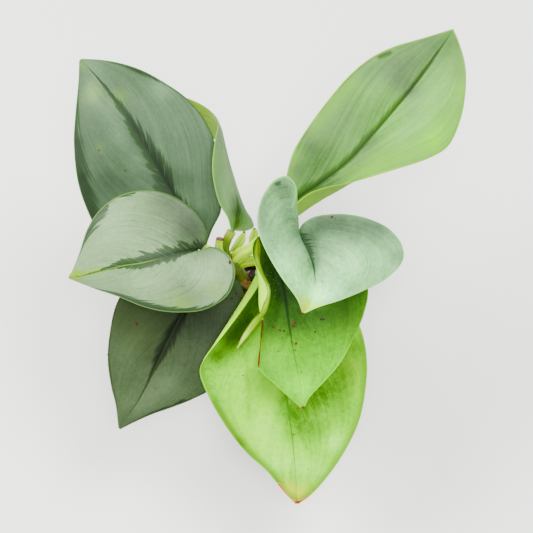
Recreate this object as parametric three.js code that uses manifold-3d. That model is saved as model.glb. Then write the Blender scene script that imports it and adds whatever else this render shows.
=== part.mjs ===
// Potted scindapsus: a young climbing aroid with eight leathery leaves on short sheathed
// petioles, growing from one leaning stem in a small black nursery pot filled with potting mix.
// Millimetres, +Z up, origin at the centre of the pot's base, the plant's front towards -Y.
import * as THREE from "three";
import { mergeVertices } from "three/addons/utils/BufferGeometryUtils.js";
import Module from "manifold-3d";

const wasm = await Module();
wasm.setup();

// Driving dimensions
const CLEARANCE = 0.3; // gap left between touching pieces
const BLADE_THICKNESS = 0.8;
const RIB_DEPTH = 1.3; // how far the midrib stands out under a blade at its base
const POT_HEIGHT = 70;
const POT_RIM_RADIUS = 40;
const POT_WALL = 1.2;
const POT_FLOOR = 1.6;
const POT_BASE_RADIUS = 28;
const RIM_BAND = 9; // height of the band round the pot's rim
const RIM_LIP = 1.2; // how far the lip stands out past the band
const BAND_BOTTOM = POT_HEIGHT - RIM_BAND;
const BAND_INNER = POT_RIM_RADIUS - RIM_LIP - POT_WALL;
const WALL_TOP = BAND_INNER - 0.8; // inner radius of the tapered wall where it meets the band
const SOIL_LEVEL = 63;
const DRAIN_HOLES = 6;
const DRAIN_RADIUS = 3;
const DRAIN_RING = 17;
const STALK_SIDES = 12;
const SHEATH_WING = 0.35; // how far a petiole's wings stand up at its base, as a share of its radius
const GROOVE_DEPTH = 0.35; // depth of the groove along a petiole, as a share of its radius

// The leaves are laid out on a plate tilted towards the front, as the plant faces the light.
// A point is given across the plate, up the plate and towards the viewer from it.
const PLATE_TILT = THREE.MathUtils.degToRad(22);
const PLATE_CENTRE = new THREE.Vector3(6, 15.5, 115);
const EYE_DISTANCE = 711; // leaves nearer the eye are smaller, so that they fill the same angle
const PLATE_UP = new THREE.Vector3(0, Math.cos(PLATE_TILT), Math.sin(PLATE_TILT));
const PLATE_NEAR = new THREE.Vector3(0, -Math.sin(PLATE_TILT), Math.cos(PLATE_TILT));

function place(across, up, near) {
  const spread = (EYE_DISTANCE - near) / EYE_DISTANCE;
  return new THREE.Vector3(across * spread, 0, 0)
    .addScaledVector(PLATE_UP, up * spread)
    .addScaledVector(PLATE_NEAR, near)
    .add(PLATE_CENTRE);
}

// Solids
function toSolid(geometry) {
  const bare = geometry.clone();
  bare.deleteAttribute("normal");
  bare.deleteAttribute("uv");
  const merged = mergeVertices(bare, 1e-4);
  return new wasm.Manifold(
    new wasm.Mesh({
      numProp: 3,
      vertProperties: new Float32Array(merged.attributes.position.array),
      triVerts: new Uint32Array(merged.index.array),
    }),
  );
}

function fromSolid(solid) {
  const mesh = solid.getMesh();
  const geometry = new THREE.BufferGeometry();
  geometry.setAttribute("position", new THREE.BufferAttribute(new Float32Array(mesh.vertProperties), 3));
  geometry.setIndex(new THREE.BufferAttribute(new Uint32Array(mesh.triVerts), 1));
  geometry.computeVertexNormals();
  return geometry;
}

// A closed shape swollen by a distance, for cutting a neighbour clear of it
function swollen(geometry, distance) {
  const bare = geometry.clone();
  bare.deleteAttribute("normal");
  bare.deleteAttribute("uv");
  const merged = mergeVertices(bare, 1e-4);
  merged.computeVertexNormals();
  const position = merged.attributes.position;
  const normal = merged.attributes.normal;
  for (let i = 0; i < position.count; i += 1) {
    position.setXYZ(
      i,
      position.getX(i) + distance * normal.getX(i),
      position.getY(i) + distance * normal.getY(i),
      position.getZ(i) + distance * normal.getZ(i),
    );
  }
  return merged;
}

function cutClear(geometry, neighbours) {
  const swelling = 1.4 * CLEARANCE; // more than the clearance, as the swollen facets cut corners
  let solid = toSolid(geometry);
  for (const neighbour of neighbours) solid = solid.subtract(toSolid(swollen(neighbour, swelling)));
  const bodies = solid.decompose();
  bodies.sort((one, other) => other.volume() - one.volume());
  return fromSolid(bodies[0].simplify(0.01));
}

// A closed sheet of two like faces around a grid of points, with a wall round its edge
function sheetFromGrid(grid, depthBelow) {
  const rows = grid.length;
  const columns = grid[0].length;
  const positions = [];
  const index = [];
  const normals = grid.map((row, i) =>
    row.map((point, j) => {
      const along = grid[Math.min(i + 1, rows - 1)][j].clone().sub(grid[Math.max(i - 1, 0)][j]);
      const across = row[Math.min(j + 1, columns - 1)].clone().sub(row[Math.max(j - 1, 0)]);
      return across.cross(along).normalize();
    }),
  );
  for (const side of [1, -1]) {
    for (let i = 0; i < rows; i += 1) {
      for (let j = 0; j < columns; j += 1) {
        const depth = side > 0 ? BLADE_THICKNESS / 2 : BLADE_THICKNESS / 2 + depthBelow(i / (rows - 1), j);
        const point = grid[i][j].clone().addScaledVector(normals[i][j], side * depth);
        positions.push(point.x, point.y, point.z);
      }
    }
  }
  const top = (i, j) => i * columns + j;
  const bottom = (i, j) => rows * columns + i * columns + j;
  for (let i = 0; i < rows - 1; i += 1) {
    for (let j = 0; j < columns - 1; j += 1) {
      index.push(top(i, j), top(i, j + 1), top(i + 1, j + 1), top(i, j), top(i + 1, j + 1), top(i + 1, j));
      index.push(bottom(i, j), bottom(i + 1, j + 1), bottom(i, j + 1));
      index.push(bottom(i, j), bottom(i + 1, j), bottom(i + 1, j + 1));
    }
    index.push(top(i, 0), top(i + 1, 0), bottom(i + 1, 0), top(i, 0), bottom(i + 1, 0), bottom(i, 0));
    const last = columns - 1;
    index.push(top(i, last), bottom(i + 1, last), top(i + 1, last));
    index.push(top(i, last), bottom(i, last), bottom(i + 1, last));
  }
  for (let j = 0; j < columns - 1; j += 1) {
    const end = rows - 1;
    index.push(top(0, j), bottom(0, j + 1), top(0, j + 1), top(0, j), bottom(0, j), bottom(0, j + 1));
    index.push(top(end, j), top(end, j + 1), bottom(end, j + 1));
    index.push(top(end, j), bottom(end, j + 1), bottom(end, j));
  }
  const geometry = new THREE.BufferGeometry();
  geometry.setAttribute("position", new THREE.Float32BufferAttribute(positions, 3));
  geometry.setIndex(index);
  geometry.computeVertexNormals();
  return geometry;
}

// Smooth curve through plate points; where a point has no height, the height rule gives it
function guide(points, heightAt) {
  const flat = points.map(([across, up]) => new THREE.Vector2(across, up));
  const reach = [0];
  for (let i = 1; i < flat.length; i += 1) reach.push(reach[i - 1] + flat[i].distanceTo(flat[i - 1]));
  const total = reach[reach.length - 1];
  const laid = points.map(
    ([across, up, near], i) => new THREE.Vector3(across, up, near ?? heightAt(reach[i] / total)),
  );
  return new THREE.CatmullRomCurve3(laid, false, "centripetal");
}

// Height above the plate along a leaf: at its base, its middle and its tip
function arch([base, middle, tip]) {
  const bend = 2 * (base + tip) - 4 * middle;
  const slope = tip - base - bend;
  return (t) => base + slope * t + bend * t * t;
}

// A leaf blade. Left and right are as seen from above, looking from the base to the tip.
// lift raises each margin above the rib, swell rounds each half, and fan keeps the rows
// of a heart-shaped base close to where the petiole joins.
function blade(leaf) {
  const rows = leaf.rows ?? 16;
  const perHalf = leaf.perHalf ?? 5;
  const ribHeight = arch(leaf.near);
  const [liftLeft, liftRight] = leaf.lift;
  const waves = leaf.waves ?? [0, 0, 0, 0];
  const marginHeight = (lift, size, count) => (t) => {
    const bow = Math.max(Math.sin(Math.PI * t), 0);
    return ribHeight(t) + lift * bow ** 0.7 + size * bow * Math.sin(count * Math.PI * t);
  };
  const rib = guide(leaf.rib, ribHeight);
  const left = guide(leaf.left, marginHeight(liftLeft, waves[0], waves[1]));
  const right = guide(leaf.right, marginHeight(liftRight, waves[2], waves[3]));
  const between = (points) => (points ? points.map((curve) => guide(curve, ribHeight)) : []);
  const leftInner = between(leaf.leftInner);
  const rightInner = between(leaf.rightInner);
  const fan = leaf.fan ?? 1.25;
  const grid = [];
  for (let i = 0; i <= rows; i += 1) {
    const t = 0.5 * (i / rows) + 0.5 * Math.sin((Math.PI / 2) * (i / rows)) ** 2;
    const ribPoint = rib.getPointAt(t ** fan);
    const half = (margin, inner, swell) => {
      const edge = margin.getPointAt(t);
      const stops = [ribPoint];
      if (inner.length > 0) {
        stops.push(...inner.map((curve) => curve.getPointAt(t)));
      } else {
        const middle = ribPoint.clone().lerp(edge, 0.5);
        middle.z += swell * ribPoint.distanceTo(edge);
        stops.push(middle);
      }
      stops.push(edge);
      const curve = new THREE.CatmullRomCurve3(stops, false, "centripetal");
      return Array.from({ length: perHalf }, (_, k) => curve.getPoint((k + 1) / perHalf));
    };
    const leftHalf = half(left, leftInner, leaf.swell[0]).reverse();
    const rightHalf = half(right, rightInner, leaf.swell[1]);
    grid.push([...leftHalf, ribPoint, ...rightHalf].map((point) => place(point.x, point.y, point.z)));
  }
  const ridge = RIB_DEPTH * (leaf.ribbed ?? 1);
  return sheetFromGrid(grid, (t, column) => (column === perHalf ? ridge * (1 - t) ** 0.8 : 0));
}

// A stalk along plate points [across, up, near, radius]; wings is how far its sheath stands up
function stalk(route, wings, steps, sides = STALK_SIDES) {
  const stops = route.map(([across, up, near]) => place(across, up, near));
  const path = new THREE.CatmullRomCurve3(stops, false, "centripetal");
  const radii = route.map((stop) => stop[3]);
  const base = path.getPointAt(0);
  const outward = path.getPointAt(1).sub(base).setZ(0).normalize();
  const inner = new THREE.Vector3(0, 0, 1).addScaledVector(outward, -0.6);
  const positions = [];
  const index = [];
  for (let i = 0; i <= steps; i += 1) {
    const t = i / steps;
    const spot = Math.min(t * (radii.length - 1), radii.length - 1.001);
    const radius = THREE.MathUtils.lerp(radii[Math.floor(spot)], radii[Math.floor(spot) + 1], spot % 1);
    const centre = path.getPointAt(t);
    const tangent = path.getTangentAt(t);
    const upward = inner.clone().addScaledVector(tangent, -inner.dot(tangent)).normalize();
    const sideways = tangent.clone().cross(upward);
    const wing = wings * Math.max(0, 1 - t / 0.75) ** 0.5;
    for (let k = 0; k < sides; k += 1) {
      const angle = (2 * Math.PI * k) / sides;
      const fromTop = Math.abs(Math.atan2(Math.sin(angle), Math.cos(angle)));
      const onWing = Math.exp(-(((fromTop - 0.6) / 0.3) ** 2));
      const inGroove = Math.exp(-((fromTop / 0.35) ** 2));
      const size = radius * (1 + wing * onWing - GROOVE_DEPTH * Math.min(1, 0.4 + wing) * inGroove);
      const point = centre
        .clone()
        .addScaledVector(upward, size * Math.cos(angle))
        .addScaledVector(sideways, size * Math.sin(angle));
      positions.push(point.x, point.y, point.z);
    }
  }
  const start = positions.length / 3;
  const end = start + 1;
  for (const t of [0, 1]) positions.push(...path.getPointAt(t).toArray());
  for (let k = 0; k < sides; k += 1) {
    const next = (k + 1) % sides;
    for (let i = 0; i < steps; i += 1) {
      const here = i * sides;
      const there = here + sides;
      index.push(here + k, here + next, there + next, here + k, there + next, there + k);
    }
    index.push(start, next, k, end, steps * sides + k, steps * sides + next);
  }
  const geometry = new THREE.BufferGeometry();
  geometry.setAttribute("position", new THREE.Float32BufferAttribute(positions, 3));
  geometry.setIndex(index);
  geometry.computeVertexNormals();
  return toSolid(geometry).volume() > 0 ? geometry : flipped(geometry);
}

function flipped(geometry) {
  const turned = geometry.clone();
  const order = turned.index.array;
  for (let i = 0; i < order.length; i += 3) {
    const held = order[i + 1];
    order[i + 1] = order[i + 2];
    order[i + 2] = held;
  }
  turned.computeVertexNormals();
  return turned;
}

// The eight leaves, as plate points [across, up] or [across, up, near]
const LEAVES = {
  back_left: {
    rib: [[-30, 10], [-36, 20], [-45, 34], [-55, 52], [-65, 68.5], [-75, 83], [-86, 96], [-89.4, 99.2]],
    left: [
      [-31.3, 9.2], [-36, 3.5], [-44, 0], [-54, -1], [-64, 2], [-74, 9], [-81, 17], [-88, 32],
      [-91, 43], [-92.5, 60], [-92, 70], [-90.2, 90], [-89.9, 98.8],
    ],
    right: [
      [-28.7, 10.8], [-26, 18], [-21.8, 27], [-22.6, 35], [-23.6, 45], [-24.2, 55], [-25.6, 62],
      [-30, 71], [-38, 80.5], [-50, 89], [-60, 94.3], [-70, 97.6], [-80, 99.3], [-88.9, 99.7],
    ],
    near: [-6, 1, -20],
    lift: [-3, 0.5],
    swell: [0.07, 0.06],
    waves: [1.5, 3, 0.8, 4],
    colour: 0x7d9682,
  },
  back_folded: {
    rib: [
      [-15.6, 17, -4], [-14, 26, -6], [-15, 36, -7], [-17.3, 47, -7], [-19.8, 58, -7], [-21.8, 66, -8],
      [-26, 70.5, -13], [-34, 75, -18], [-43, 81, -22], [-48, 83, -24],
    ],
    left: [
      [-16.8, 16, -3.2], [-18.5, 23, 2], [-22.5, 30, 7], [-25.2, 40, 11], [-26, 48, 12], [-24.8, 60, 9],
      [-23.2, 69, 3], [-25.2, 73, -5], [-30.5, 77.3, -12], [-39, 81.2, -18], [-48.3, 83.6, -23.8],
    ],
    right: [
      [-14.4, 17.4, -4.6], [-10.5, 17, -5], [-6.2, 18.8, -6], [-7, 22.5, -9], [-9.8, 27, -14],
      [-13.5, 36, -23], [-17, 47, -27], [-20.5, 58, -28], [-25, 66, -28], [-31, 71, -28],
      [-39, 76, -27], [-47.6, 82.3, -24.4],
    ],
    near: [0, 0, 0],
    lift: [0, 0],
    swell: [0.08, 0.05],
    colour: 0x86a27e,
  },
  left: {
    rib: [
      [-32, 7.5], [-36, 7.4], [-45, 5.3], [-60, 1.7], [-70, 0.2], [-80, -2.5], [-90, -4.8],
      [-94.9, -5.2],
    ],
    left: [
      [-31, 6.3], [-29, 8.6], [-26, 9.4], [-21, 7.7], [-16.5, 3], [-15, -3], [-17, -11], [-20, -15.2],
      [-30, -20.8], [-40, -22], [-50, -21.5], [-60, -19], [-71, -14.5], [-82, -10.8], [-93, -6.5],
      [-94.9, -5.8],
    ],
    right: [
      [-31.6, 8.8], [-29.6, 10.3], [-28.5, 15], [-31, 22], [-36, 28], [-45, 34], [-54, 36.3], [-64, 36],
      [-73, 32.8], [-81, 26], [-86, 18], [-90, 6], [-93.5, -2.5], [-94.9, -4.6],
    ],
    near: [7, 15, -2],
    lift: [-4, -5],
    swell: [0.06, 0.08],
    waves: [1, 3, 1.2, 3],
    fan: 1.6,
    rows: 18,
    colour: 0xafc3aa,
  },
  front_left: {
    rib: [
      [-22, -3], [-28, -8.5], [-40, -22.5], [-46, -33.5], [-54, -50], [-62, -65], [-67, -72],
      [-70.6, -77.8],
    ],
    left: [
      [-20.8, -4.2], [-14.5, -5], [-10.5, -14], [-8, -25], [-9, -37], [-15, -49], [-24, -57.5],
      [-35, -63.5], [-45, -67.5], [-55, -71], [-65, -75.5], [-70.2, -78.2],
    ],
    right: [
      [-23, -1.8], [-32, 1], [-45, 0.5], [-58, -4], [-68, -11], [-72.5, -19], [-75, -30], [-76.3, -44],
      [-74.5, -58], [-72.5, -66], [-71.1, -77.4],
    ],
    near: [-23, -18, -26],
    lift: [-2, 2.5],
    swell: [0.06, 0.06],
    waves: [1.2, 4, 1.2, 3],
    colour: 0x55694b,
  },
  back_right: {
    rib: [
      [9, 20], [15, 32.5], [25, 39.5], [40, 51.5], [50, 62.5], [60, 74], [70, 86], [83, 104],
      [89.6, 113.8],
    ],
    left: [
      [8, 21.2], [7.6, 32], [9.5, 43.5], [13, 55.5], [20, 67], [30, 80.5], [40, 92], [50, 100.2],
      [60, 105.2], [75, 109.7], [89.2, 114.1],
    ],
    right: [
      [10.2, 19.6, -2], [12.5, 28, 7], [20, 34.8, 9], [30, 38.3, 9], [40, 40.2, 6], [60, 46, 5],
      [78, 52, 4], [87, 57.5, 2], [93, 70, -1], [95.5, 83, -4], [95.5, 96.5, -7], [92, 109, -10],
      [90, 113.5, -11],
    ],
    rightInner: [
      [
        [9.8, 19.7, -4], [15.4, 24.6, -3], [26, 31.8, -2], [38, 38.7, 1], [50, 47, 3], [62, 57, 4],
        [74, 70, 2], [83, 86, -2], [88, 102, -8], [89.9, 113.6, -11],
      ],
    ],
    near: [-5, 3, -11],
    lift: [4, 0],
    swell: [0.05, 0.05],
    waves: [1.2, 3, 0, 0],
    colour: 0x8caf78,
  },
  front: {
    rib: [
      [-4, -2.5], [-2, -12], [1, -25], [4.5, -38], [7.5, -52], [10, -65], [12.7, -85], [14.3, -105],
      [14.5, -113.7],
    ],
    left: [
      [-2.6, -2.6], [8, -5], [20, -8.5], [31, -14], [40, -21], [45, -29], [48.2, -44], [47.7, -58],
      [44.5, -74], [38, -88], [30, -100], [21, -110], [15.2, -114],
    ],
    right: [
      [-4.6, -3.6, -8.2], [-3.6, -8, -2], [-10, -18.5, 0], [-20, -32, -1], [-29, -43.5, -3],
      [-32, -50, -6], [-29, -60, -8], [-19, -77.5, -9], [-9, -90, -11], [0, -98, -13], [9, -109, -15],
      [13.9, -114, -16],
    ],
    rightInner: [
      [
        [-4.2, -3, -9], [-5, -12, -11], [-8, -26, -13], [-12, -42, -12], [-13, -55, -10],
        [-9, -72, -10], [-2, -88, -12], [6, -102, -14], [14.2, -113.9, -16],
      ],
      [
        [-4.4, -3.3, -9], [-9.6, -13, -5], [-17.6, -26, -5], [-25.6, -38.9, -6], [-30.2, -47.6, -8],
        [-27, -57, -9], [-18, -72, -10], [-8, -86, -12], [3, -100, -14], [14, -113.9, -16],
      ],
    ],
    near: [-11, -10, -18],
    lift: [2.5, 0],
    swell: [0.06, 0],
    waves: [1.5, 3, 0, 0],
    perHalf: 6,
    rows: 18,
    colour: 0x96c864,
  },
  right: {
    rib: [
      [14.3, 14.5], [17, 11.5], [19.5, 8], [22, 2], [23.3, -6], [22.4, -14], [19.6, -20], [17.9, -22.2],
    ],
    left: [
      [15.4, 15.6], [17, 20], [20, 22.5], [24, 24.2], [36, 25.3], [48, 23.3], [59, 18], [65, 10.5],
      [65.5, 3], [58, -5.5], [48, -11], [36, -16], [25, -19.5], [18.5, -22.4],
    ],
    right: [
      [13.2, 15.5], [11, 18.5], [10.4, 24], [13, 31], [14.4, 38], [10, 43.4], [4, 41.5], [-2, 33.5],
      [-4.4, 24], [-3.5, 15.5], [0.5, 6], [7, -5], [14.5, -15.5], [17.1, -22],
    ],
    near: [8, 12, 10],
    lift: [10, 16],
    swell: [0.1, 0.02],
    fan: 2.1,
    rows: 20,
    ribbed: 0.8,
    colour: 0xb4d2b0,
  },
  torn: {
    rib: [
      [-3, 14], [1, 8], [5, 0], [8, -9], [10, -22], [12.5, -38], [14.5, -48], [16.5, -58],
      [17.5, -68.1],
    ],
    left: [
      [-1.9, 14.2], [5, 11.5], [14, 9.5], [27, 7.5], [38, 4], [46, -3], [48.8, -11], [47, -22],
      [42, -34], [36, -45.5], [28, -55], [20.5, -63], [18, -68.3],
    ],
    right: [
      [-4.1, 14.6, 2.6], [-6.4, 11, 6], [-6.4, 4.5, 9], [-2.5, -4, 10], [0.8, -12, 9], [-0.5, -20, 7],
      [-2.3, -28, 4], [-3, -38, 2], [-3.8, -48.5, 1], [5, -57.5, 0], [12, -63.8, -1], [17, -68.3, -1],
    ],
    rightInner: [
      [
        [-3.7, 14.4, 2], [-4.8, 8, 2], [-3.8, 0, 1], [-3.4, -8, 1], [-3.4, -18, 0.5], [-1.5, -28, 1],
        [0, -40, 0.5], [3, -51, 0.5], [10, -60, 0], [17.2, -68.2, -1],
      ],
    ],
    near: [1.5, 3.5, -1],
    lift: [-1.5, 0],
    swell: [0.07, 0],
    waves: [1, 3, 0, 0],
    perHalf: 6,
    rows: 18,
    colour: 0x6ea03c,
  },
};

// The strip torn from the last leaf's margin, curling away over the leaf below
const TORN_STRIP = {
  rib: [
    [-0.6, -17, 7.6], [-1.4, -22, 7.4], [-4.4, -27, 7], [-8.4, -31.8, 6], [-11.6, -36, 4.5],
    [-13.9, -38.8, 2.5],
  ],
  left: [
    [0.7, -17.5, 7.8], [0.3, -21.5, 7.2], [-1.7, -26, 6.6], [-4.3, -29.9, 6.2], [-8.2, -34.2, 5],
    [-13.3, -39.2, 2.4],
  ],
  right: [
    [-1.8, -17, 7.6], [-2.7, -22.6, 7.2], [-5.9, -28, 6.8], [-9.7, -32.6, 5.6], [-12.4, -36.2, 4],
    [-14.2, -38.3, 2.6],
  ],
  near: [0, 0, 0],
  lift: [0, 0],
  swell: [0, 0],
  rows: 7,
  perHalf: 2,
  ribbed: 0,
};

// Routes as [across, up, near, radius], from the stem's axis to the blade
const STEM = [
  [-11, -12.6, -64.6, 3], [-11, -8, -52.5, 3.7], [-11.1, -6.9, -48, 3.2], [-11.6, -5.8, -43.5, 4],
  [-12.2, -4.8, -39.5, 3.2], [-13, -3.6, -34.5, 3.9], [-14, -2.1, -29.5, 3.3],
  [-15.2, -0.4, -23.5, 3.8], [-17, 1.7, -17, 3.2], [-18.6, 3.4, -11, 2.4],
];
const PETIOLES = {
  front_left: [[-13.6, -2.6, -30, 2], [-17, -2.6, -27, 1.9], [-21.2, -2.6, -23.8, 1.6]],
  front: [
    [-12.6, -4.6, -37, 2], [-9.8, -8.8, -35.5, 1.9], [-5, -8.8, -27, 1.7], [-3.4, -5, -17, 1.6],
    [-3.9, -2.2, -10.5, 1.5],
  ],
  right: [
    [-14.8, -0.4, -25, 1.8], [-9.4, 1.9, -19.5, 2.2], [-4.5, 3.1, -16.5, 2.6], [3, 8, -10, 2.2],
    [10, 13.4, -1, 1.8], [13.6, 15.2, 7, 1.6],
  ],
  back_right: [
    [-15.8, 0.6, -21, 2.1], [-11, 5.4, -16.5, 2.1], [-4, 10, -13.5, 2.1], [3, 15, -10, 1.9],
    [9.3, 20.2, -5.2, 1.9],
  ],
  back_left: [[-16.6, 1.6, -18, 2], [-21, 4.5, -15.5, 1.8], [-26.5, 8, -9.5, 1.6], [-29.4, 9.5, -6.8, 1.6]],
  torn: [
    [-17, 2.6, -16, 2.3], [-12, 6.7, -9.5, 2.6], [-7, 9.4, -5.5, 2.5], [-3.7, 13.2, -0.3, 1.8],
  ],
  left: [[-17.8, 3, -13, 2], [-22.5, 4.6, -9, 1.8], [-28, 6.6, 0.5, 1.5], [-31.3, 7.3, 5.6, 1.5]],
  back_folded: [
    [-18.2, 3.6, -12, 2.1], [-20, 8.2, -8.8, 2.2], [-18.7, 13.2, -6, 2.2], [-16.8, 16.8, -4.4, 2.3],
  ],
};

// The cut end of an old leaf stalk, low on the stem, and a sheath cut short beside the petioles
const OLD_STUB = [[-11.8, -5.4, -42, 2.2], [-9.2, -4.6, -39, 2.2], [-6.6, -3.9, -35, 2.4]];
const CUT_SHEATH = [[-21.4, 5, -9, 1.9], [-22.9, 9.4, -6.4, 1.95], [-22.4, 13.6, -4.6, 1.8]];

// Dry sheaths left by older leaves, as strips standing beside the petioles
const SHEATHS = {
  sheath_back: {
    rib: [
      [-16.5, 7.2, -13], [-14.2, 10, -9.8], [-12, 13.2, -6.5], [-10.5, 16.9, -2.8],
    ],
    left: [
      [-18.3, 6.5, -12], [-16.2, 10, -8.5], [-13.8, 13.9, -5.5], [-10.9, 17.1, -2.6],
    ],
    right: [
      [-14.5, 7.8, -13.4], [-12, 9.8, -10.4], [-10.2, 12.4, -6.8], [-10.1, 16.7, -3],
    ],
  },
  sheath_torn: {
    rib: [[-6.6, 11.4, -8.6], [-6.2, 14, -6.4], [-5.8, 16.4, -4.6], [-5.6, 18.4, -3]],
    left: [[-8.6, 11.4, -8], [-8.3, 14.4, -5.8], [-7.3, 16.8, -4.2], [-6.1, 18.6, -3]],
    right: [[-4.4, 12, -8.2], [-4, 14.6, -6], [-4.2, 16.6, -4.4], [-5.2, 18.4, -3]],
  },
};

// A closed turned shape, upright on its axis, from a profile of [radius, height]
function turned(profile, sides) {
  const points = profile.map(([radius, height]) => new THREE.Vector2(radius, height));
  return new THREE.LatheGeometry(points, sides).rotateX(Math.PI / 2);
}

// Nursery pot: thin tapered wall, flat floor with drain holes, thickened rim band
function pot() {
  const profile = [
    [0, 0], [POT_BASE_RADIUS - 0.8, 0], [POT_BASE_RADIUS, 0.8], [WALL_TOP + POT_WALL, BAND_BOTTOM],
    [BAND_INNER + POT_WALL, BAND_BOTTOM + 0.8], [BAND_INNER + POT_WALL + 0.3, POT_HEIGHT - 2.4],
    [POT_RIM_RADIUS, POT_HEIGHT - 2], [POT_RIM_RADIUS, POT_HEIGHT - 0.6],
    [POT_RIM_RADIUS - 0.6, POT_HEIGHT],
    [BAND_INNER + 0.6, POT_HEIGHT], [BAND_INNER, POT_HEIGHT - 0.8], [BAND_INNER, BAND_BOTTOM + 1.6],
    [WALL_TOP, BAND_BOTTOM + 0.4], [POT_BASE_RADIUS - POT_WALL + 0.2, POT_FLOOR + 0.6],
    [POT_BASE_RADIUS - POT_WALL - 0.6, POT_FLOOR], [0, POT_FLOOR],
  ];
  const shell = turned(profile, 48);
  let solid = toSolid(shell);
  if (solid.volume() < 0) solid = toSolid(flipped(mergeVertices(shell)));
  for (let k = 0; k < DRAIN_HOLES; k += 1) {
    const angle = (2 * Math.PI * (k + 0.5)) / DRAIN_HOLES;
    const drill = new THREE.CylinderGeometry(DRAIN_RADIUS, DRAIN_RADIUS, 4 * POT_FLOOR, 16);
    drill.rotateX(Math.PI / 2);
    drill.translate(DRAIN_RING * Math.cos(angle), DRAIN_RING * Math.sin(angle), POT_FLOOR / 2);
    solid = solid.subtract(toSolid(drill));
  }
  return fromSolid(solid);
}

// Potting mix filling the pot, with an uneven top
function pottingMix() {
  const slope = (WALL_TOP - (POT_BASE_RADIUS - POT_WALL)) / (BAND_BOTTOM - POT_FLOOR);
  const topRadius = WALL_TOP - CLEARANCE;
  const edgeLevel = BAND_BOTTOM - 1;
  const bottomRadius = topRadius - slope * (edgeLevel - POT_FLOOR) - 0.3;
  const bottom = POT_FLOOR + CLEARANCE;
  const profile = [
    [0, bottom], [bottomRadius - 1, bottom], [bottomRadius, bottom + 1], [topRadius - 0.4, edgeLevel - 1.5],
    [topRadius - 1.2, edgeLevel],
  ];
  for (let radius = 30; radius >= 0; radius -= 5) profile.push([radius, SOIL_LEVEL]);
  const body = turned(profile, 40);
  const position = body.attributes.position;
  for (let i = 0; i < position.count; i += 1) {
    const x = position.getX(i);
    const y = position.getY(i);
    if (position.getZ(i) < SOIL_LEVEL - 0.1) continue;
    const lumps = 0.8 * Math.sin(0.31 * x + 1.3) * Math.cos(0.27 * y) + 0.6 * Math.sin(0.61 * x - 0.53 * y);
    position.setZ(i, SOIL_LEVEL + lumps);
  }
  return toSolid(body).volume() > 0 ? body : flipped(mergeVertices(body));
}

const plant = new THREE.Group();

function add(name, geometry, colour, roughness, parent = plant) {
  const material = new THREE.MeshStandardMaterial({ color: colour, roughness, metalness: 0 });
  const mesh = new THREE.Mesh(geometry, material);
  mesh.name = name;
  parent.add(mesh);
  return geometry;
}

// Assembly: pot and mix, then the stem, blades, petioles and sheaths, each cut clear of its seat
const holder = new THREE.Group();
plant.add(holder);
const stem = stalk(STEM, 0, 18);
add("pot", pot(), 0x1c1c1b, 0.5, holder);
add("potting_mix", cutClear(pottingMix(), [stem]), 0x2c1d14, 0.95, holder);
add("stem", stem, 0x9aa23c, 0.6);

const blades = {};
for (const [name, leaf] of Object.entries(LEAVES)) {
  let shape = blade(leaf);
  if (name === "torn") shape = fromSolid(toSolid(shape).add(toSolid(blade(TORN_STRIP))));
  blades[name] = add(`blade_${name}`, shape, leaf.colour, 0.45);
}

const placed = [stem];
placed.push(add("old_stub", cutClear(stalk(OLD_STUB, 0, 4), placed), 0x7a5a34, 0.85));
for (const [name, route] of Object.entries(PETIOLES)) {
  const shape = cutClear(stalk(route, SHEATH_WING, 12), [...placed, blades[name]]);
  placed.push(add(`petiole_${name}`, shape, 0xb4dc5a, 0.5));
}

placed.push(add("sheath_left", cutClear(stalk(CUT_SHEATH, SHEATH_WING, 6), placed), 0xb4be64, 0.7));
for (const [name, strip] of Object.entries(SHEATHS)) {
  const flat = { near: [0, 0, 0], lift: [0, 0], swell: [0, 0], rows: 8, perHalf: 2, ribbed: 0 };
  const shape = blade({ ...strip, ...flat });
  add(name, cutClear(shape, [...placed, blades.torn, blades.back_folded]), 0x9a8a3a, 0.8);
}

export default plant;
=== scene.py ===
"""Potted scindapsus: fine leaves, stalks, stem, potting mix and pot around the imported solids.

Lengths in the tables are millimetres; Blender's objects are in metres.
"""
import math

import bmesh
import bpy
import numpy as np
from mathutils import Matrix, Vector, noise


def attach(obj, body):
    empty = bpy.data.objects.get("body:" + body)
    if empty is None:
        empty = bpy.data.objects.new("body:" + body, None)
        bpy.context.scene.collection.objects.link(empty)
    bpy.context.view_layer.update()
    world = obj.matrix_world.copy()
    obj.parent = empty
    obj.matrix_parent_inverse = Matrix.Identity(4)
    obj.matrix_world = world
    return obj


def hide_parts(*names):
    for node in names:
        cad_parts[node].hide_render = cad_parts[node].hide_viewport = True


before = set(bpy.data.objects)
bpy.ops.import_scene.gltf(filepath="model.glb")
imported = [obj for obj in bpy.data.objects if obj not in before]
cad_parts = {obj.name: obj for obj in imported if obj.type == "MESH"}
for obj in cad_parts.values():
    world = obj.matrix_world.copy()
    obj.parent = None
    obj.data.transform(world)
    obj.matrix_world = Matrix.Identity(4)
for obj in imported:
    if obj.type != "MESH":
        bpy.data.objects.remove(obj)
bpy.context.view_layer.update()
MM = 0.001
rng = np.random.default_rng(7)

# The tilted plate on which the leaves are laid out: across, up and towards the eye
PLATE_TILT = math.radians(22)
PLATE_CENTRE = np.array([6, 15.5, 115])
EYE_DISTANCE = 711
PLATE_UP = np.array([0, math.cos(PLATE_TILT), math.sin(PLATE_TILT)])
PLATE_NEAR = np.array([0, -math.sin(PLATE_TILT), math.cos(PLATE_TILT)])

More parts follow.
